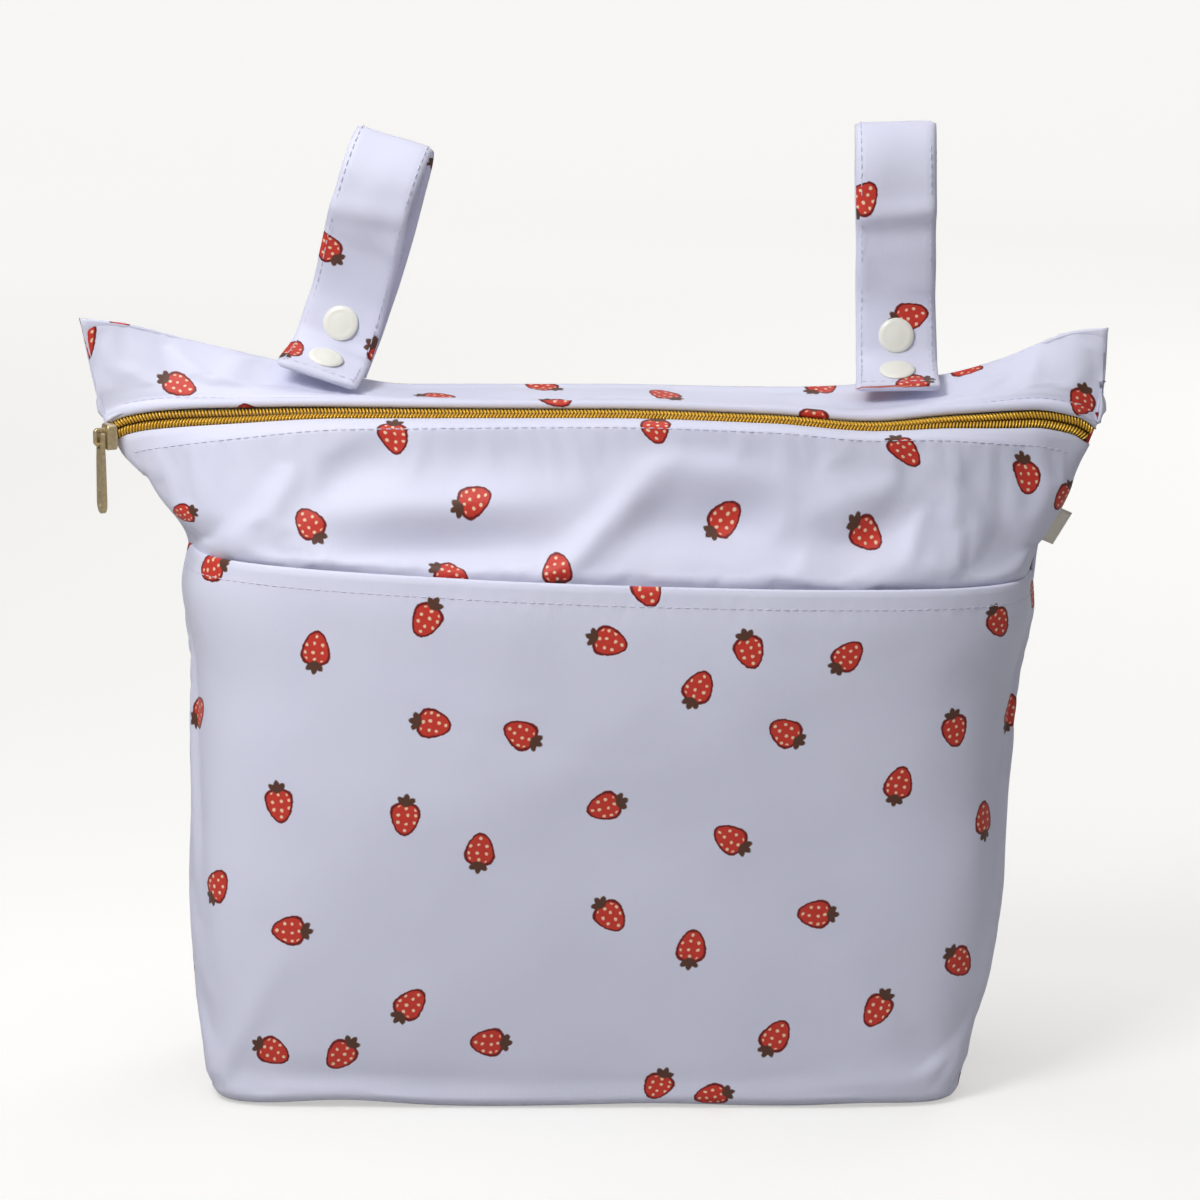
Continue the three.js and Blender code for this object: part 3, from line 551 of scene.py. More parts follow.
def newMaterial(name, **constants):
    material = bpy.data.materials.new(name)
    material.use_nodes = True
    tree = material.node_tree
    shader = next(n for n in tree.nodes if n.type == "BSDF_PRINCIPLED")
    for key, value in constants.items():
        shader.inputs[key.replace("_", " ")].default_value = value
    return material, nodeMaker(tree), shader


clothFinish = {
    "ground": srgb(230, 231, 248), "groundShade": srgb(220, 221, 242), "inside": srgb(225, 226, 241),
}


def clothMaterial(name, printed):
    material, node, shader = newMaterial(name, Sheen_Weight=0.12, Sheen_Roughness=0.4, Specular_IOR_Level=0.35)
    link = material.node_tree.links.new
    pattern = node("ShaderNodeUVMap", uv_map="pattern").outputs[0]
    threads = node("ShaderNodeGroup", {"Pattern": pattern, "Thread": 0.00042}, node_tree=weave)
    worn = node("ShaderNodeGroup", {"Place": pattern}, node_tree=handling).outputs["Shade"]
    if printed:
        ground = mixNode(node, worn, clothFinish["ground"], clothFinish["groundShade"])
        motif = node("ShaderNodeGroup", {"Pattern": pattern, "Cloth": ground}, node_tree=berries)
        colour, gloss = motif.outputs["Color"], rangeNode(node, motif.outputs["Mask"], 0.5, 0.42)
    else:
        colour = mixNode(node, worn, clothFinish["inside"], clothFinish["groundShade"])
        gloss = rangeNode(node, worn, 0.45, 0.55)
    link(colour, shader.inputs["Base Color"])
    link(gloss, shader.inputs["Roughness"])
    bump = node("ShaderNodeBump", {"Height": threads.outputs["Height"], "Strength": 0.28, "Distance": 0.00012})
    link(bump.outputs[0], shader.inputs["Normal"])
    return material


printedCloth = clothMaterial("printedCloth", True)
liningCloth = clothMaterial("liningCloth", False)


# Surface with one effect: handling at the object's own place, or threads on its flat pattern
def surfaceMaterial(name, effect, size, light, dark, colourBy, gloss, glossBy, bump, bumpBy, **constants):
    material, node, shader = newMaterial(name, **constants)
    link = material.node_tree.links.new
    if effect == weave:
        place = node("ShaderNodeUVMap", uv_map="pattern").outputs[0]
    else:
        place = node("ShaderNodeTexCoord").outputs["Object"]
    made = node("ShaderNodeGroup", {0: place, 1: size}, node_tree=effect)
    link(mixNode(node, made.outputs[colourBy], light, dark), shader.inputs["Base Color"])
    link(rangeNode(node, made.outputs[glossBy], *gloss), shader.inputs["Roughness"])
    strength, distance = bump
    raised = node("ShaderNodeBump", {"Height": made.outputs[bumpBy], "Strength": strength, "Distance": distance})
    link(raised.outputs[0], shader.inputs["Normal"])
    return material


def metalMaterial(name, light, dark, gloss, fine, metallic):
    return surfaceMaterial(name, handling, fine, light, dark, "Fine", gloss, "Shade", (0.15, 0.0001), "Fine",
                           Metallic=metallic)


def plainMaterial(name, light, dark, gloss, size, bumpDistance, **constants):
    bump = (0.2, bumpDistance)
    return surfaceMaterial(name, handling, size, light, dark, "Shade", gloss, "Fine", bump, "Fine", **constants)


def wovenMaterial(name, light, dark, thread):
    gloss = (0.7, 0.9)
    bump = (0.6, 0.0003)
    return surfaceMaterial(name, weave, thread, light, dark, "Shade", gloss, "Shade", bump, "Height",
                           Sheen_Weight=0.1)


goldCoil = metalMaterial("goldCoil", srgb(255, 214, 88), srgb(230, 178, 58), (0.22, 0.4), 60.0, 0.38)
# dark gold of the coil's cord: painted shade that shows in the gaps between the teeth
goldCorePaintedShade = metalMaterial("goldCorePaintedShade", srgb(100, 68, 22), srgb(74, 50, 18), (0.42, 0.6), 60.0, 0.3)
paleBrass = metalMaterial("paleBrass", srgb(236, 218, 176), srgb(190, 166, 120), (0.26, 0.44), 40.0, 0.75)
snapPlastic = plainMaterial("snapPlastic", srgb(246, 245, 236), srgb(238, 237, 226), (0.24, 0.36), 60.0,
                            0.00004)
sewingThread = plainMaterial("sewingThread", srgb(222, 220, 238), srgb(206, 204, 226), (0.44, 0.56), 300.0,
                             0.00006)
labelCloth = wovenMaterial("labelCloth", srgb(250, 242, 230), srgb(236, 226, 212), 0.0005)
tapeCloth = wovenMaterial("tapeCloth", srgb(222, 218, 236), srgb(204, 200, 222), 0.0007)
paleFloor = plainMaterial("paleFloor", (0.51, 0.507, 0.496, 1), (0.5, 0.497, 0.486, 1), (0.74, 0.86), 1.0,
                          0.00002, Emission_Strength=1.0, Specular_IOR_Level=0.1)
floorGlow = {  # distance from a place before the bag, and how much paler the floor looks there
    "place": (0.0, 0.35, 0.0), "reach": 8.0, "tint": (1.0, 0.99, 0.965),
    "steps": [(0, 0.492), (0.35, 0.492), (0.5, 0.553), (0.7, 0.548), (0.95, 0.556), (1.25, 0.576),
              (1.6, 0.6), (2, 0.659), (2.5, 0.746), (3, 0.782), (3.5, 0.779), (5.5, 0.88), (8, 0.9)],
}


# The floor looks paler than the light that it throws back, and as pale far off as near
def evenFloor():
    tree = paleFloor.node_tree
    node = nodeMaker(tree)
    shader = next(n for n in tree.nodes if n.type == "BSDF_PRINCIPLED")
    place = node("ShaderNodeTexCoord").outputs["Object"]
    away = vectorNode(node, "LENGTH", vectorNode(node, "ADD", place, floorGlow["place"]))
    ramp = node("ShaderNodeValToRGB", {"Fac": mathNode(node, "DIVIDE", away, floorGlow["reach"])})
    elements = ramp.color_ramp.elements
    for k, (distance, strength) in enumerate(floorGlow["steps"]):
        element = elements[k] if k < 2 else elements.new(1.0)
        element.position = distance / floorGlow["reach"]
        element.color = (strength, strength, strength, 1)
    seen = node("ShaderNodeLightPath").outputs["Is Camera Ray"]
    tinted = vectorNode(node, "MULTIPLY", ramp.outputs["Color"], floorGlow["tint"])
    tree.links.new(vectorNode(node, "SCALE", tinted, seen), shader.inputs["Emission Color"])


evenFloor()


print("materials made")

stitches = {"spacing": 0.0031, "size": (0.00115, 0.00021, 0.00016), "hemDown": 6.2, "zipDown": 6.4,
            "lift": 0.12, "stripUp": 4.1}

# Front pocket
frontPocket = {
    "hemWall": 2.2, "hemDeep": 12.0, "hemLift": 2.6, "pucker": 0.16, "growth": 0.006, "pressure": 0.5,
    "frames": 26, "flat": (0.42, 0.25), "reach": 2.4, "seed": 5, "uneven": [(1.2, 55, 3), (0.4, 21, 9)],
    "lifts": [(-88, 24, 2.2), (20, 30, 1.0), (96, 18, 0.9)],
    "folds": [
        (-128, 20, 62, 34, 5, 1.4),
        (118, 16, 118, 40, 6, -1.6),
        (96, 8, 8, 50, 6, 1.5),
        (-60, 9, -4, 60, 6, -1.2),
        (-146, 92, 80, 40, 7, -1.6),
        (146, 96, 96, 40, 7, -1.8),
        (-20, 120, 24, 110, 22, 1.1),
        (70, 70, -38, 90, 18, -1.0),
    ],
}
pocketShares = [0.1, 0.24, 0.42, 0.6, 0.78, 0.93, 1]
pocketControl = baseRows(-1) + [
    outlineRow(-1, s * bag["pocketHeight"], s * bag["pocketHeight"], 0, s ** 3 * bag["pocketSlope"])
    for s in pocketShares]
pocketGrid = refine(pocketControl, bag["rowSpacing"])
across = np.linspace(-1, 1, columns + 1)[None, :]
heightShare = np.clip(pocketGrid[..., 2] / bag["pocketHeight"], 0, 1)
pocketGrid[..., 2] += frontPocket["hemLift"] * heightShare ** 3 * (1 - np.abs(across) ** 3)
pocketNormals = gridNormals(pocketGrid, -1)


# Small puckers beside a seam, so far from it along the surface, that die out within a few millimetres
def puckers(grid, distance, high, seed):
    steps = np.linalg.norm(np.diff(grid, axis=1), axis=2)
    along = np.concatenate([np.zeros((len(grid), 1)), np.cumsum(steps, axis=1)], axis=1)
    drift = 3.0 * noiseField(grid, 24, seed)
    strong = 0.6 + 0.8 * np.clip(noiseField(grid, 18, seed + 4) + 0.3, 0, 1)
    return high * strong * np.sin(2 * math.pi * (along + drift) / 7.4) * np.exp(-(distance / 3.6) ** 2)


# Distance along the surface from the last row down
def belowTop(grid):
    rise = np.linalg.norm(np.diff(grid, axis=0), axis=2)
    return np.concatenate([np.cumsum(rise[::-1], axis=0)[::-1], np.zeros((1, grid.shape[1]))], axis=0)


# How free a point is: nothing moves at the side seams or the base
def freeMask(grid, low, high):
    z = grid[..., 2]
    return smoothStep(low, high, z) * smoothStep(1, 0.93, np.abs(across))


# The bottom edge stands clear of the floor a little between the corners
def baseLift(grid):
    x, z = grid[..., 0], grid[..., 2]
    lift = sum(high * np.exp(-((x - place) / wide) ** 2) for place, wide, high in frontPocket["lifts"])
    return lift * np.exp(-(z / 12) ** 2) * smoothStep(20, 46, -grid[..., 1])


pocketFree = freeMask(pocketGrid, 1, 14)
pocketPuckers = puckers(pocketGrid, belowTop(pocketGrid) - stitches["hemDown"], frontPocket["pucker"], 31)
pocketRoomy = roomyGrid(pocketGrid, -1, frontPocket, pocketFree, pocketPuckers)
pocketRoomy[..., 2] += baseLift(pocketGrid)
pocketCloth = settleCloth("frontPocket", pocketRoomy, pocketFree, frontPocket)
pocketCloth[..., 2] = np.maximum(pocketCloth[..., 2], 0)
hemLine = pocketGrid[-1:, :, 2]
hemAt = smoothStep(-frontPocket["hemDeep"] - 1, -frontPocket["hemDeep"], pocketGrid[..., 2] - hemLine)
hemWall = bag["clothWall"] + (frontPocket["hemWall"] - bag["clothWall"]) * hemAt
pocketPattern = gridPattern(pocketGrid, (0.31, 0.02))
pocketPiece = clothPiece("front_pocket_cloth", pocketCloth, -1, pocketPattern, hemWall)
print("front pocket made")

# Front panel
frontPanel = {
    "growth": 0.010, "pressure": 0.18, "frames": 26, "flat": (0.4, 0.29),
    "reach": 3.0, "seed": 11, "uneven": [(1.0, 40, 13), (0.35, 16, 29)], "pucker": 0.18,
    "folds": [
        (-52, 200, 2, 42, 8, -6.2),
        (-48, 213, 3, 40, 6, 2.2),
        (40, 208, -5, 34, 10, -7.6),
        (42, 224, -6, 30, 6, 2.4),
        (6, 208, 42, 24, 6, 4.4),
        (98, 203, 10, 24, 8, -4.8),
        (92, 215, 16, 26, 6, 1.8),
        (-112, 214, 38, 34, 6, 2.6),
        (-126, 206, 36, 26, 5, -2.6),
        (128, 216, -42, 30, 6, 2.4),
        (140, 206, -46, 26, 5, -2.4),
        (-84, 224, 24, 30, 7, -1.6),
        (-139, 197, 0, 12, 9, -3.4),
        (141, 192, 0, 12, 9, -3.0),
    ],
}
zipMid = zipFrame(0)[0]
zipEdge = -bag["coilWidth"] / 2 - bag["coilSideGap"]
slopeTop = zipMid[2] - bag["zipBand"]
sideTop = zipMiddle(-1)[2] + zipEdge - bag["zipBand"]
clear = bag["pocketHeight"] + 4
room = bag["pocketRoom"] * (1 - np.abs(across) ** 6)
room = room * np.clip(pocketGrid[..., 2], 0, None) / bag["pocketHeight"]
covered = pocketCloth - pocketNormals * (hemWall + 0.6 + room)[..., None]
covered[..., 1] = np.minimum(covered[..., 1], -seamHalf)
upperRows = [outlineRow(-1, clear + (slopeTop - clear) * s, clear + (sideTop - clear) * s * 0.94, 0,
                        bag["pocketSlope"] * (1 - s)) for s in (0, 0.3, 0.62, 0.85)]
upperRows += [besideZip(zipEdge - bag["zipBand"]), besideZip(zipEdge - 2.5, 0.25), besideZip(zipEdge, 0.3)]
upperGrid = refine([covered[-3]] + upperRows, 1.9)
upperIn = np.arange(len(upperGrid))[:, None]
upperFree = smoothStep(0, 5, upperIn) * smoothStep(2, 8, len(upperGrid) - 1 - upperIn)
upperFree = upperFree * smoothStep(1, 0.95, np.abs(across))
upperPuckers = puckers(upperGrid, belowTop(upperGrid) - stitches["zipDown"], frontPanel["pucker"], 37)
upperRoomy = roomyGrid(upperGrid, -1, frontPanel, upperFree, upperPuckers)
upperCloth = settleCloth("frontPanel", upperRoomy, upperFree, frontPanel)
frontGrid = np.concatenate([covered[:-3:2], upperCloth])
frontSmooth = np.concatenate([covered[:-3:2], upperGrid])
frontPattern = gridPattern(frontSmooth, (0.97, 0.05))
frontPiece = clothPiece("front_panel_cloth", frontGrid, -1, frontPattern, bag["clothWall"])
print("front panel made")

# Back panel
backPanel = {
    "growth": 0.008, "pressure": 0.5, "frames": 26, "flat": (0.44, 0.33),
    "reach": 3.0, "seed": 17, "uneven": [(1.4, 60, 41), (0.4, 20, 47)],
    "folds": [
        (-40, 60, 30, 70, 16, -1.8),
        (60, 130, -28, 80, 18, 1.8),
        (-110, 200, -36, 50, 9, -2.6),
        (115, 205, 36, 50, 9, -2.6),
        (0, 196, 4, 80, 12, -2.4),
        (-120, 18, 118, 40, 6, -1.6),
        (110, 20, 64, 40, 6, -1.6),
    ],
}


def ridgeRow(offset):
    fine = np.array([ridgePoint(place) for place in np.linspace(-1, 1, 241)])
    row = evenly(fine, columns)
    row[:, 1] += offset
    return row


backShares = [0.08, 0.24, 0.42, 0.6, 0.74, 0.805, 0.86, 0.915]
backControl = baseRows(1) + [outlineRow(1, s * bodyHeight, s * bodyHeight) for s in backShares]
backControl += [outlineRow(1, 0.962 * bodyHeight, 0.99 * bodyHeight), outlineRow(1, 0.99 * bodyHeight,
                                                                                1.05 * bodyHeight)]
backControl.append(ridgeRow(seamHalf))
backGrid = refine(backControl, bag["rowSpacing"])
backFree = freeMask(backGrid, 1, 14) * smoothStep(0, 7, len(backGrid) - 1 - np.arange(len(backGrid)))[:, None]
backCloth = settleCloth("backPanel", roomyGrid(backGrid, 1, backPanel, backFree), backFree, backPanel)
backCloth[..., 2] = np.maximum(backCloth[..., 2], 0)
backPattern = gridPattern(backGrid, (1.71, 0.4))
backPiece = clothPiece("back_panel_cloth", backCloth, 1, backPattern, bag["clothWall"])
print("back panel made")

# Top strip with the folded roll over the zipper
topStrip = {
    "rollReach": -0.5, "rollHigh": 2.9, "rollWide": 4.1, "bulge": 1.5, "earFullness": 1.2, "growth": 0.012,
    "pressure": 0.3, "frames": 22, "flat": (0.4, 0.04), "reach": 2.2, "seed": 23,
    "uneven": [(1.3, 34, 53), (0.4, 13, 59)],
    "folds": [
        (-120, 258, 36, 22, 6, 1.6),
        (128, 256, -34, 22, 6, 1.6),
    ],
}
edge = bag["coilWidth"] / 2 + bag["coilSideGap"]
rollEnds = 1 - np.abs(across[0][:, None]) ** 10
rollHigh = topStrip["rollHigh"]
foldRow = besideZip(edge + bag["zipBand"])
ridge = ridgeRow(-seamHalf)


def rollRow(distance, out):
    flatRow = besideZip(edge + distance)
    raised = besideZip(edge + distance, out)
    return flatRow * (1 - rollEnds) + raised * rollEnds


rollWide = topStrip["rollWide"]
stripRows = [rollRow(1.3, -0.3), rollRow(0.1, 0.2), rollRow(topStrip["rollReach"], 0.5 * rollHigh),
             rollRow(0.15, 0.9 * rollHigh), rollRow(1.3, 1.08 * rollHigh), rollRow(2.7, 0.85 * rollHigh),
             rollRow(rollWide - 0.5, 0.3 * rollHigh), rollRow(rollWide, 0.14 * rollHigh),
             rollRow(rollWide + 1.2, 0.3 * rollHigh)]
for share in (0.2, 0.35, 0.7):
    row = foldRow * (1 - share) + ridge * share
    side = np.abs(across[0])
    row[:, 1] -= topStrip["earFullness"] * side ** 2
    row[:, 2] += topStrip["bulge"] * (1 - side ** 4) * (0.5 if share < 0.3 else 1)
    row[[0, -1], 1] = -seamHalf
    stripRows.append(row)
stripRows.append(ridge)
stripGrid = refine(stripRows, 1.1)
rowsIn = np.arange(len(stripGrid))[:, None]
stripFree = smoothStep(12, 17, rowsIn) * smoothStep(0, 5, len(stripGrid) - 1 - rowsIn)
stripFree = stripFree * smoothStep(1, .95, np.abs(across))
stripCloth = settleCloth("topStrip", roomyGrid(stripGrid, -1, topStrip, stripFree), stripFree, topStrip)
stripPattern = gridPattern(stripGrid, (2.57, 0.13))
stripPiece = clothPiece("top_strip_cloth", stripCloth, -1, stripPattern, bag["clothWall"])
print("top strip made")

# Straps
strapShape = {"width": 28.0, "wall": 2.4, "rise": 92.0, "seat": 2.4, "steps": 150, "acrossSteps": 14}
strapTable = [
    (.05, .075), (.08, .146), (.108, .217), (.13, .32), (.14, .45), (.135, .6), (.1, .8), (.045, .945),
    (-.01, .985), (-.065, .94), (-.105, .84), (-.11, .72), (-.07, .54), (-.015, .37), (.004, .27), (.002, .2),
    (-.004, .14), (-.012, .085), (-.032, .047), (-.063, .028), (-.11, .009), (-.16, -.009), (-.22, -.03),
]
straps = {
    "left": {"place": -.53, "lean": 17, "turn": -8, "tall": .9, "sway": 1.16, "lift": 5.2,
             "upperSnap": .844, "lowerSnap": .94, "seed": 61, "pattern": (3.31, 0.2),
             "creases": [(.62, -.5, 1.3, .022), (.7, .6, -1.1, .03), (.9, .8, 0.8, .018)]},
    "right": {"place": .6, "lean": -1, "turn": -2, "tall": .965, "sway": 1, "lift": 3.6,
              "upperSnap": .862, "lowerSnap": .948, "seed": 67, "pattern": (4.13, 0.7),
              "creases": [(.635, -.25, 1.7, .02), (.675, -.25, -1.4, .028), (.76, .5, 0.9, .03)]},
}
backSnap = 0.08


# Fine points of the strap's side view, on a centripetal curve through its table
def strapLine(strap):
    rise = strapShape["rise"]
    knots = [np.array([0, b * rise * strap["sway"], u * rise * strap["tall"]]) for b, u in strapTable]
    knots.insert(0, np.array([0, -strapShape["wall"] / 4, strapShape["seat"] - strap["lift"]]))
    knots = [2 * knots[0] - knots[1]] + knots + [2 * knots[-1] - knots[-2]]
    line = []
    for k in range(1, len(knots) - 2):
        p0, p1, p2, p3 = knots[k - 1:k + 3]
        d0, d1, d2 = (np.linalg.norm(b - a) ** 0.5 for a, b in ((p0, p1), (p1, p2), (p2, p3)))
        t1 = ((p1 - p0) / d0 - (p2 - p0) / (d0 + d1) + (p2 - p1) / d1) * d1
        t2 = ((p2 - p1) / d1 - (p3 - p1) / (d1 + d2) + (p3 - p2) / d2) * d1
        for t in np.linspace(0, 1, 25)[:-1]:
            line.append(p1 + t1 * t + (-3 * p1 + 3 * p2 - 2 * t1 - t2) * t * t
                        + (2 * p1 - 2 * p2 + t1 + t2) * t ** 3)
    line.append(knots[-2])
    return np.array(line)


# Strap's own frame to the bag: turned about its foot on the top seam
def strapPlace(strap, points):
    root = ridgePoint(strap["place"])
    lean, turn = math.radians(strap["lean"]), math.radians(strap["turn"])
    x = points[..., 0] * math.cos(lean) + points[..., 2] * math.sin(lean)
    z = -points[..., 0] * math.sin(lean) + points[..., 2] * math.cos(lean)
    y = points[..., 1]
    placed = np.stack([x * math.cos(turn) - y * math.sin(turn), x * math.sin(turn) + y * math.cos(turn), z], -1)
    return placed + root + np.array([0, 0, strap["lift"]])


# Frames along a strap at even steps of its length: middle, and out of its front
def strapFrames(strap, steps):
    line = strapLine(strap)
    fine = evenly(line, steps)
    along = np.gradient(fine, axis=0)
    along = along / np.linalg.norm(along, axis=1, keepdims=True)
    out = np.cross(along, np.array([1.0, 0, 0]))
    return fine, along, out


def strapAt(strap, share):
    fine, along, out = strapFrames(strap, 1000)
    k = int(round(share * 1000))
    return fine[k], along[k], out[k]


def closedSweep(name, rings, patterns, materials, flip=False):
    count, sides = rings.shape[:2]
    points = toMetres(rings.reshape(-1, 3))
    faces = []
    for i in range(count - 1):
        for j in range(sides):
            a, b = i * sides + j, i * sides + (j + 1) % sides
            faces.append((a, b, b + sides, a + sides))
    faces.append(tuple(reversed(range(sides))))
    faces.append(tuple((count - 1) * sides + j for j in range(sides)))
    if flip:
        faces = [tuple(reversed(f)) for f in faces]
    return meshPiece(name, points, faces, materials, patterns)


# Section of a flat doubled strap with full rounded edges: across and out, front side first
def strapSection(width, wall):
    half = width / 2
    n = strapShape["acrossSteps"]
    upper = [(-half + width * k / n, 1) for k in range(n + 1)]
    lower = [(half - width * k / n, -1) for k in range(n + 1)]
    section = []
    for x, side in upper + lower:
        inset = 1 - min(1, (half - abs(x)) / 2.0)
        puff = 1 - 0.75 * inset ** 2
        section.append((x, side * wall / 2 * puff))
    return np.array(section)


def strapPiece(side, strap):
    steps = strapShape["steps"]
    fine, along, out = strapFrames(strap, steps)
    length = np.linalg.norm(np.diff(fine, axis=0), axis=1).sum()
    share = np.linspace(0, 1, steps + 1)
    rings = []
    patterns = []
    for k in range(steps + 1):
        flare = 1 + 0.06 * max(0, (share[k] - 0.8) / 0.2)
        section = strapSection(strapShape["width"] * flare, strapShape["wall"])
        x, height = section[:, 0], section[:, 1]
        at = share[k] * length
        wave = [0.5 * noise.noise(Vector((p / 14, at / 22, strap["seed"]))) for p in x]
        edgeWave = 0.5 * noise.noise(Vector((at / 18, strap["seed"], 1.3)))
        seated = smoothStep(0.02, 0.1, share[k]) * smoothStep(1.0, 0.97, share[k])
        cup = 0.5 * (x / 14) ** 2
        # creases: place along the strap, slant, height and width
        folded = sum(high * np.exp(-((share[k] - place - slant * 0.02 * x / 14) / wide) ** 2)
                     for place, slant, high, wide in strap["creases"])
        points = (fine[k] + np.outer(x + edgeWave * np.sign(x) * seated, [1.0, 0, 0])
                  + np.outer(height + (1.5 * np.array(wave) - cup * 0.6 + folded) * seated, out[k]))
        rings.append(points)
        around = np.where(section[:, 1] >= 0, x, strapShape["width"] + 4 - x)
        patterns.append(np.stack([around * 0.001, np.full(len(x), at * 0.001)], 1) + np.array(strap["pattern"]))
    rings = strapPlace(strap, np.array(rings))
    return closedSweep(f"{side}_strap_cloth", rings, np.array(patterns), [printedCloth], flip=True), length


strapPieces = {}
for side, strap in straps.items():
    strapPieces[side], strap["length"] = strapPiece(side, strap)
    print(side, "strap length", round(strap["length"], 1))

# Snap fasteners
snap = {"diameter": 12.4, "cap": 1.7, "post": 3.0, "socket": 6.6, "socketHeight": 1.5, "segments": 48}


def snapPiece(name, strap, share):
    middle, along, out = strapAt(strap, share)
    seat = strapShape["wall"] / 2 + 0.1
    cap = snap["diameter"] / 2
    high = snap["cap"]
    profile = [(0, -seat - snap["socketHeight"]), (1.1, -seat - snap["socketHeight"]),
               (1.3, -seat - snap["socketHeight"] * 0.5), (1.9, -seat - snap["socketHeight"] * 0.5),
               (2.1, -seat - snap["socketHeight"]), (snap["socket"] / 2 - 0.3, -seat - snap["socketHeight"]),
               (snap["socket"] / 2, -seat - snap["socketHeight"] + 0.3), (snap["socket"] / 2 + 0.1, -seat),
               (snap["post"] / 2, -seat + 0.1), (snap["post"] / 2, seat - 0.1), (cap - 0.25, seat),
               (cap - 0.02, seat + 0.2), (cap, seat + 0.42), (cap - 0.08, seat + 0.62), (cap - 0.4, seat + 0.82),
               (cap * 0.82, seat + high * 0.66), (cap * 0.72, seat + high * 0.72),
               (cap * 0.66, seat + high * 0.69),
               (cap * 0.5, seat + high * 0.78), (cap * 0.25, seat + high * 0.9), (0, seat + high * 0.93)]
    count = snap["segments"]
    points = []
    for radius, height in profile[1:-1]:
        for k in range(count):
            angle = 2 * math.pi * k / count
            points.append(middle + np.array([1.0, 0, 0]) * radius * math.cos(angle)
                          + along * radius * math.sin(angle) + out * height)
    points.append(middle + out * profile[0][1])
    points.append(middle + out * profile[-1][1])
    placed = toMetres(strapPlace(strap, np.array(points)))
    faces = []
    for i in range(len(profile) - 3):
        for k in range(count):
            a, b = i * count + k, i * count + (k + 1) % count
            faces.append((a, a + count, b + count, b))
    last = len(points) - 1
    low = (len(profile) - 3) * count
    for k in range(count):
        faces.append((last - 1, k, (k + 1) % count))
        faces.append((last, low + (k + 1) % count, low + k))
    piece = meshPiece(name, placed, faces, [snapPlastic])
    solid = bmesh.new()
    solid.from_mesh(piece.data)
    bmesh.ops.recalc_face_normals(solid, faces=solid.faces)
    solid.to_mesh(piece.data)
    solid.free()
    return piece


snapPieces = {}
for side, strap in straps.items():
    for part, share in (("upper_snap_front", strap["upperSnap"]), ("lower_snap", strap["lowerSnap"]),
                        ("upper_snap_back", backSnap)):
        snapPieces[f"{side}_{part}"] = snapPiece(f"{side}_{part}_plastic", strap, share)
print("straps and snaps made")

# Label in the side seam
label = {"high": 13.0, "long": 8.0, "wall": 0.5, "place": 200.0, "flat": (0.013, 0.017)}


def labelPiece():
    half = label["high"] / 2
    low = np.array([seamX(1, label["place"] - half), 0, label["place"] - half])
    high = np.array([seamX(1, label["place"] + half), 0, label["place"] + half])
    up = unit(high - low)
    out = np.array([0.75, 0.66, 0])
    out = unit(out - up * out.dot(up))
    side = np.cross(up, out)
    rings = []
    patterns = []
    # a ribbon folded back on itself: out along one layer, round the fold and back
    path = [(0.9 + t * (label["long"] - 1.0), -0.33 + 0.12 * math.sin(t * 5)) for t in np.linspace(0, 1, 12)]
    path += [(label["long"] + 0.25, -0.2), (label["long"] + 0.36, 0), (label["long"] + 0.25, 0.2)]
    path += [(0.9 + t * (label["long"] - 1.0), 0.33 + 0.12 * math.sin(t * 5)) for t in np.linspace(1, 0, 12)]
    path = np.array(path)
    tangent = np.gradient(path, axis=0)
    tangent = tangent / np.linalg.norm(tangent, axis=1, keepdims=True)
    normal = np.stack([tangent[:, 1], -tangent[:, 0]], 1)
    length = np.concatenate([[0], np.cumsum(np.linalg.norm(np.diff(path, axis=0), axis=1))])
    wall = label["wall"] / 2
    for k, point in enumerate(path):
        ring = []
        pattern = []
        heights = np.linspace(0, label["high"], 9)
        for sign, row in ((1, heights), (-1, heights[::-1])):
            for h in row:
                place = point + normal[k] * wall * sign
                ring.append(low + out * place[0] + side * place[1] + up * h)
                pattern.append((h * 0.001, length[k] * 0.001))
        rings.append(ring)
        patterns.append(pattern)
    return closedSweep("side_label_ribbon", np.array(rings), np.array(patterns), [labelCloth], flip=True)


labelRibbon = labelPiece()

# Zipper tapes, coil, slider and pull
zipper = {"tapeWidth": 9.0, "tapeWall": 0.8, "tapeEnd": 0.92, "coilEnd": 0.986, "pitch": 1.2,
          "toothSize": (0.0004, 0.00165, 0.0009), "toothTurn": 0.36}


def tapePiece(side, name):
    top = bag["coilProud"] - bag["coilHeight"] - 0.78
    near, far = side * 0.15, side * zipper["tapeWidth"]
    rings = []
    patterns = []
    at = 0
    before = None
    for place in np.linspace(-zipper["tapeEnd"], zipper["tapeEnd"], 120):
        middle, acrossWay, along, out = zipFrame(place)
        at += 0 if before is None else np.linalg.norm(middle - before)
        before = middle
        section = [(near, top - zipper["tapeWall"]), (far, top - zipper["tapeWall"]), (far, top), (near, top)]
        rings.append([middle + acrossWay * a + out * o for a, o in section])
        patterns.append([(a * 0.001, at * 0.001) for a, o in section])
    return closedSweep(name, np.array(rings), np.array(patterns), [tapeCloth], flip=side < 0)


tapeFront = tapePiece(-1, "zipper_tape_front_woven")
tapeBack = tapePiece(1, "zipper_tape_back_woven")


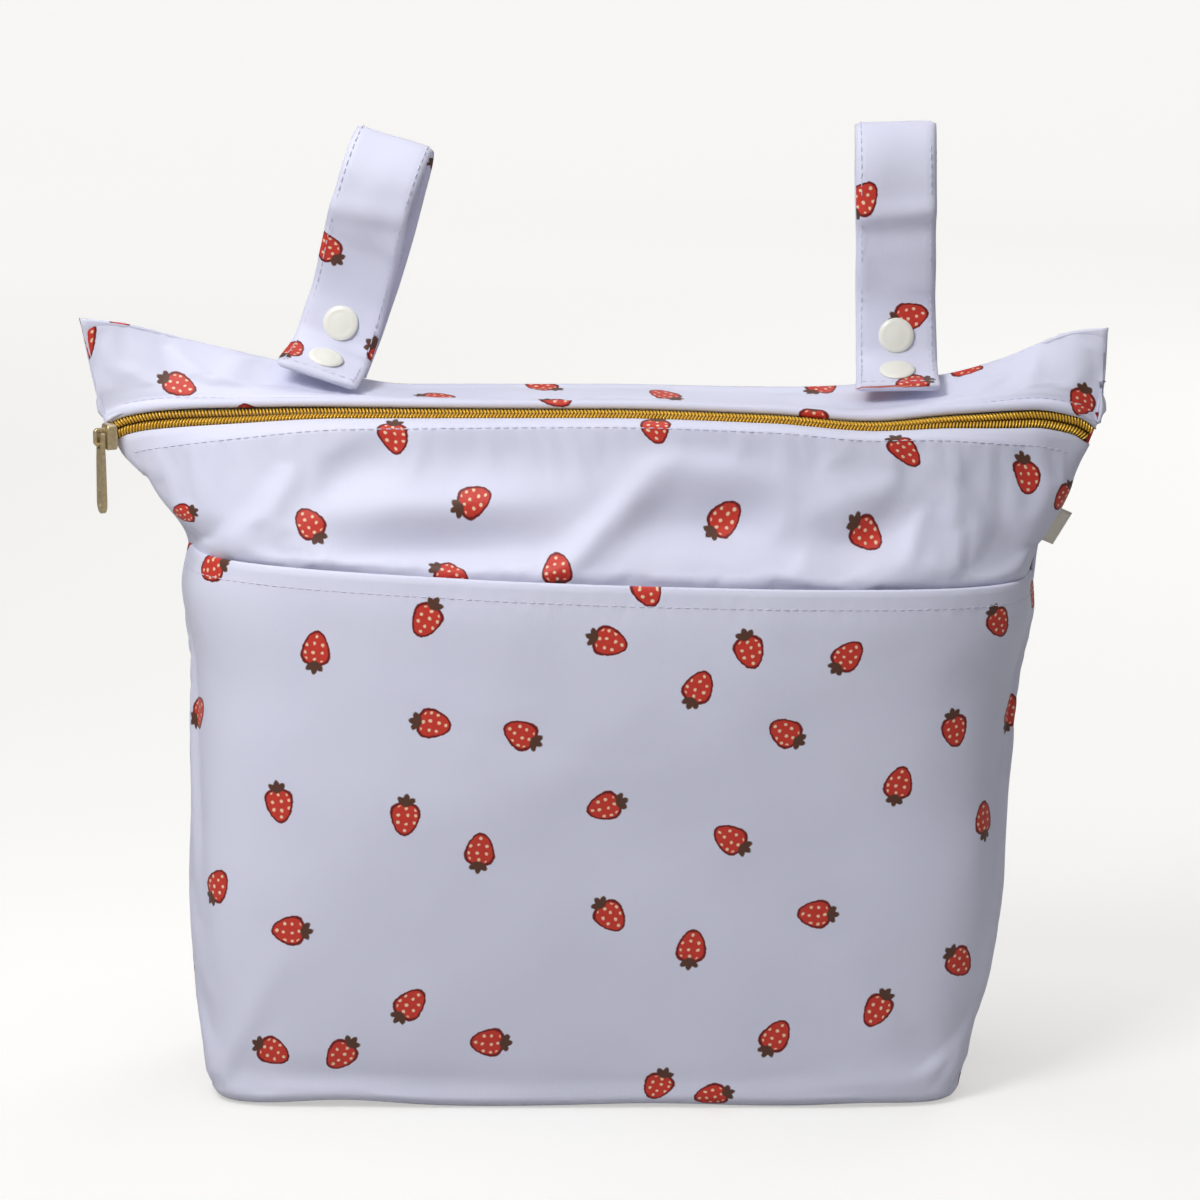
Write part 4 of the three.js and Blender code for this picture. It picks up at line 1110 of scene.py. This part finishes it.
# Tree that sets one small shape after another along an edge line, upright to the line's own outward vector
def rowTree(name, shape):
    tree = bpy.data.node_groups.new(name, "GeometryNodeTree")
    face = tree.interface
    face.new_socket(name="Geometry", in_out="INPUT", socket_type="NodeSocketGeometry")
    for label_, kind, value in (("Spacing", "NodeSocketFloat", 0.003), ("Size", "NodeSocketVector", (1, 1, 1)),
                                ("Turn", "NodeSocketFloat", 0.0), ("Material", "NodeSocketMaterial", None)):
        socket = face.new_socket(name=label_, in_out="INPUT", socket_type=kind)
        if value is not None:
            socket.default_value = value
    face.new_socket(name="Geometry", in_out="OUTPUT", socket_type="NodeSocketGeometry")
    node = nodeMaker(tree)
    source, result = node("NodeGroupInput"), node("NodeGroupOutput")
    curve = node("GeometryNodeMeshToCurve", {"Mesh": source.outputs["Geometry"]})
    even = node("GeometryNodeResampleCurve", {"Curve": curve.outputs[0], "Length": source.outputs["Spacing"]},
                mode="LENGTH")
    tangent = node("GeometryNodeInputTangent")
    outward = node("GeometryNodeInputNamedAttribute", {"Name": "outward"}, data_type="FLOAT_VECTOR")
    first = node("FunctionNodeAlignRotationToVector", {"Vector": tangent.outputs[0]}, axis="X")
    second = node("FunctionNodeAlignRotationToVector",
                  {"Rotation": first.outputs[0], "Vector": outward.outputs[0]}, axis="Z", pivot_axis="X")
    turn = node("ShaderNodeCombineXYZ", {"Z": source.outputs["Turn"]})
    asRotation = node("FunctionNodeEulerToRotation", {0: turn.outputs[0]})
    rotation = node("FunctionNodeRotateRotation", {0: second.outputs[0], 1: asRotation.outputs[0]},
                    rotation_space="LOCAL")
    if shape == "thread":
        small = node("GeometryNodeMeshUVSphere", {"Segments": 6, "Rings": 4, "Radius": 1.0})
    else:
        small = node("GeometryNodeMeshUVSphere", {"Segments": 8, "Rings": 5, "Radius": 1.0})
    smooth = node("GeometryNodeSetShadeSmooth", {0: small.outputs[0]})
    placed = node("GeometryNodeInstanceOnPoints",
                  {"Points": even.outputs[0], "Instance": smooth.outputs[0], "Rotation": rotation.outputs[0],
                   "Scale": source.outputs["Size"]})
    real = node("GeometryNodeRealizeInstances", {0: placed.outputs[0]})
    finished = node("GeometryNodeSetMaterial", {0: real.outputs[0], "Material": source.outputs["Material"]})
    tree.links.new(finished.outputs[0], result.inputs[0])
    return tree


threadRow = rowTree("threadRow", "thread")
toothRow = rowTree("toothRow", "tooth")


# Plain mesh of the tree's result along some lines; each line has points and outward vectors in millimetres
def rowPiece(name, tree, lines, material, **values):
    points = []
    outs = []
    edges = []
    for line, outward in lines:
        first = len(points)
        points += [tuple(p) for p in toMetres(np.array(line))]
        outs += [tuple(o) for o in outward]
        edges += [(k, k + 1) for k in range(first, len(points) - 1)]
    mesh = bpy.data.meshes.new(name + "Line")
    mesh.from_pydata(points, edges, [])
    attribute = mesh.attributes.new("outward", "FLOAT_VECTOR", "POINT")
    attribute.data.foreach_set("vector", np.array(outs, dtype=np.float32).reshape(-1))
    guide = bpy.data.objects.new(name + "Line", mesh)
    bpy.context.scene.collection.objects.link(guide)
    modifier = guide.modifiers.new("row", "NODES")
    modifier.node_group = tree
    identifiers = {item.name: item.identifier for item in tree.interface.items_tree if item.in_out == "INPUT"}
    modifier[identifiers["Material"]] = material
    for key, value in values.items():
        modifier[identifiers[key]] = value
    guide.update_tag()
    graph = bpy.context.evaluated_depsgraph_get()
    graph.update()
    made = bpy.data.meshes.new_from_object(guide.evaluated_get(graph), depsgraph=graph)
    guide.modifiers.remove(modifier)
    bpy.data.objects.remove(guide)
    made.name = name
    piece = bpy.data.objects.new(name, made)
    bpy.context.scene.collection.objects.link(piece)
    return piece


def coilPiece(side, name):
    line = []
    outward = []
    for place in np.linspace(-zipper["coilEnd"], zipper["coilEnd"], 260):
        middle, acrossWay, along, up = zipFrame(place)
        line.append(middle + acrossWay * side * 1.62 + up * (bag["coilProud"] - 0.62) + along * (0.3 * side))
        outward.append(up)
    return rowPiece(name, toothRow, [(line, outward)], goldCoil, Spacing=zipper["pitch"] * 0.001,
                    Size=zipper["toothSize"], Turn=zipper["toothTurn"] * side)


# Cord that the teeth are wound on; its dark colour is painted shade for the gaps between and under the teeth
def coilCore(side, name):
    rings = []
    patterns = []
    for place in np.linspace(-zipper["coilEnd"], zipper["coilEnd"], 200):
        middle, acrossWay, along, out = zipFrame(place)
        low, high = bag["coilProud"] - bag["coilHeight"], bag["coilProud"] - 0.75
        section = [(0.12, low), (3.1, low), (3.1, high - 0.4), (2.6, high), (0.12, high)]
        rings.append([middle + acrossWay * side * a + out * o for a, o in section])
        patterns.append([(a * 0.001, place * 0.2) for a, o in section])
    return closedSweep(name, np.array(rings), np.array(patterns), [goldCorePaintedShade], flip=side < 0)


coreFront = coilCore(-1, "zipper_coil_front_cord")
coreBack = coilCore(1, "zipper_coil_back_cord")
coilFront = coilPiece(-1, "zipper_coil_front_teeth")
coilBack = coilPiece(1, "zipper_coil_back_teeth")


# Rounded copy of a hard node of the frame
def roundedCopy(node, name, width, material):
    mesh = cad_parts[node].data.copy()
    mesh.name = name
    solid = bmesh.new()
    solid.from_mesh(mesh)
    bmesh.ops.remove_doubles(solid, verts=solid.verts, dist=0.00001)
    bmesh.ops.dissolve_limit(solid, angle_limit=0.03, verts=solid.verts, edges=solid.edges)
    solid.to_mesh(mesh)
    solid.free()
    mesh.materials.clear()
    mesh.materials.append(material)
    mesh.polygons.foreach_set("use_smooth", np.ones(len(mesh.polygons), dtype=bool))
    piece = bpy.data.objects.new(name, mesh)
    bpy.context.scene.collection.objects.link(piece)
    bevel = piece.modifiers.new("bevel", "BEVEL")
    bevel.width = width
    bevel.segments = 3
    bevel.limit_method = "ANGLE"
    bevel.angle_limit = math.radians(30)
    bevel.harden_normals = True
    return piece


sliderPiece = roundedCopy("zipper_slider", "zipper_slider_brass", 0.00045, paleBrass)
pullPiece = roundedCopy("zipper_pull", "zipper_pull_brass", 0.0003, paleBrass)
print("zipper made")

# Line on a front cloth grid at a distance below its last row, with the surface's own outward vectors
def lineOnGrid(grid, distance, ends):
    normals = gridNormals(grid, -1)
    path = []
    outward = []
    for j in range(ends, grid.shape[1] - ends):
        left = distance
        i = len(grid) - 1
        here = grid[i, j]
        while left > 0 and i > 0:
            ahead = grid[i - 1, j]
            size = np.linalg.norm(ahead - here)
            if size >= left:
                here = here + (ahead - here) * left / size
                left = 0
            else:
                left -= size
                here = ahead
                i -= 1
        path.append(here + normals[i, j] * stitches["lift"])
        outward.append(normals[i, j])
    return path, outward


def strapStitchLines(strap):
    steps = 200
    fine, along, out = strapFrames(strap, steps)
    lines = []
    inset = strapShape["width"] / 2 - 1.9
    for face in (1, -1):
        for side in (-1, 1):
            keep = range(8, steps - 1)
            line = []
            for k in keep:
                flare = 1 + 0.06 * max(0, (k / steps - 0.8) / 0.2)
                line.append(fine[k] + np.array([side * inset * flare, 0, 0])
                            + out[k] * face * (strapShape["wall"] / 2 + 0.02))
            lines.append((strapPlace(strap, np.array(line)), [out[k] * face for k in keep]))
        k = steps - 3
        cross = [fine[k] + np.array([x, 0, 0]) + out[k] * face * (strapShape["wall"] / 2 + 0.02)
                 for x in np.linspace(-inset, inset, 12)]
        lines.append((strapPlace(strap, np.array(cross)), [out[k] * face] * 12))
    return lines


stitchLines = [lineOnGrid(pocketCloth, stitches["hemDown"], 2),
               lineOnGrid(upperCloth, stitches["zipDown"], 4),
               (rollRow(stitches["stripUp"], 0.14 * rollHigh + 0.25)[5:-5],
                evenly(np.array([f[0] for f in zipFine]), columns, np.array([f[3] for f in zipFine]))[5:-5])]
for strap in straps.values():
    stitchLines += strapStitchLines(strap)
stitchPiece = rowPiece("stitches", threadRow, stitchLines, sewingThread, Spacing=stitches["spacing"],
                       Size=stitches["size"], Turn=0.0)
print("stitches made")

# What rides on what
clothNodes = {
    pocketPiece: "front_pocket", frontPiece: "front_panel", backPiece: "back_panel", stripPiece: "top_strip",
    tapeFront: "zipper_tape_front", tapeBack: "zipper_tape_back", coilFront: "zipper_coil_front",
    coilBack: "zipper_coil_back", coreFront: "zipper_coil_front", coreBack: "zipper_coil_back",
    sliderPiece: "zipper_slider", labelRibbon: "side_label",
    strapPieces["left"]: "left_strap", strapPieces["right"]: "right_strap",
}
for piece, node in clothNodes.items():
    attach(piece, "bag")
    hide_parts(node)
for node, piece in snapPieces.items():
    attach(piece, "bag")
    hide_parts(node)
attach(pullPiece, "pull")
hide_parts("zipper_pull")
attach(stitchPiece, "bag")
slots = {
    "cloth": [pocketPiece, frontPiece, backPiece, stripPiece, stitchPiece, *strapPieces.values()],
    "tape": [tapeFront, tapeBack], "coil": [coilFront, coilBack, coreFront, coreBack],
    "brass": [sliderPiece, pullPiece], "label": [labelRibbon],
}
for slot, pieces in slots.items():
    for piece in pieces:
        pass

# Floor, light and camera
studio = {
    "floorSize": 14.0, "worldStrength": 0.28, "world": (0.97, 0.975, 1.0),
    "lights": {
        "overheadLight": {"place": (-0.3, 0.1, 2.6), "target": (0, 0, 0.1), "size": 1.8, "power": 14.0},
        "keyLight": {"place": (-0.4, -0.52, 0.84), "target": (0, 0, 0.2), "size": 0.36, "power": 5.4},
        "backLight": {"place": (0.75, 1.3, 1.1), "target": (0, 0, 0.15), "size": 1.0, "power": 7.0},
    },
}


def studioSweep():
    size = studio["floorSize"]
    profile = [(-size, 0), (2.6, 0)]
    profile += [(2.6 + 1.2 * math.sin(a), 1.2 - 1.2 * math.cos(a)) for a in np.linspace(0, math.pi / 2, 16)[1:]]
    profile.append((3.8, 5.0))
    points = [(x, y, z) for y, z in profile for x in (-size, size)]
    faces = [(2 * k, 2 * k + 1, 2 * k + 3, 2 * k + 2) for k in range(len(profile) - 1)]
    return meshPiece("studio_floor", points, faces, [paleFloor])


floor = studioSweep()

world = bpy.data.worlds.new("studio")
bpy.context.scene.world = world
world.use_nodes = True
background = next(n for n in world.node_tree.nodes if n.type == "BACKGROUND")
background.inputs["Color"].default_value = (*studio["world"], 1)
background.inputs["Strength"].default_value = studio["worldStrength"]


def areaLight(name, light):
    data = bpy.data.lights.new(name, "AREA")
    data.size = light["size"]
    data.energy = light["power"]
    lamp = bpy.data.objects.new(name, data)
    lamp.location = light["place"]
    lamp.rotation_euler = (Vector(light["target"]) - Vector(light["place"])).to_track_quat("-Z", "Y").to_euler()
    bpy.context.scene.collection.objects.link(lamp)


for name, light in studio["lights"].items():
    areaLight(name, light)

view = {"target": (2.1, 0.0, 171.0), "distance": 1600.0, "elevation": 12.0, "lens": 135.6, "sensor": 36.0}


def makeCamera():
    data = bpy.data.cameras.new("camera")
    data.lens = view["lens"]
    data.sensor_width = view["sensor"]
    data.clip_end = 50
    camera = bpy.data.objects.new("camera", data)
    target = Vector(view["target"]) * 0.001
    tilt = math.radians(view["elevation"])
    camera.location = target + Vector((0, -math.cos(tilt), math.sin(tilt))) * view["distance"] * 0.001
    camera.rotation_euler = (target - camera.location).to_track_quat("-Z", "Y").to_euler()
    bpy.context.scene.collection.objects.link(camera)
    bpy.context.scene.camera = camera


makeCamera()
bpy.context.scene.view_settings.view_transform = "Standard"
print("floor, light and camera made")
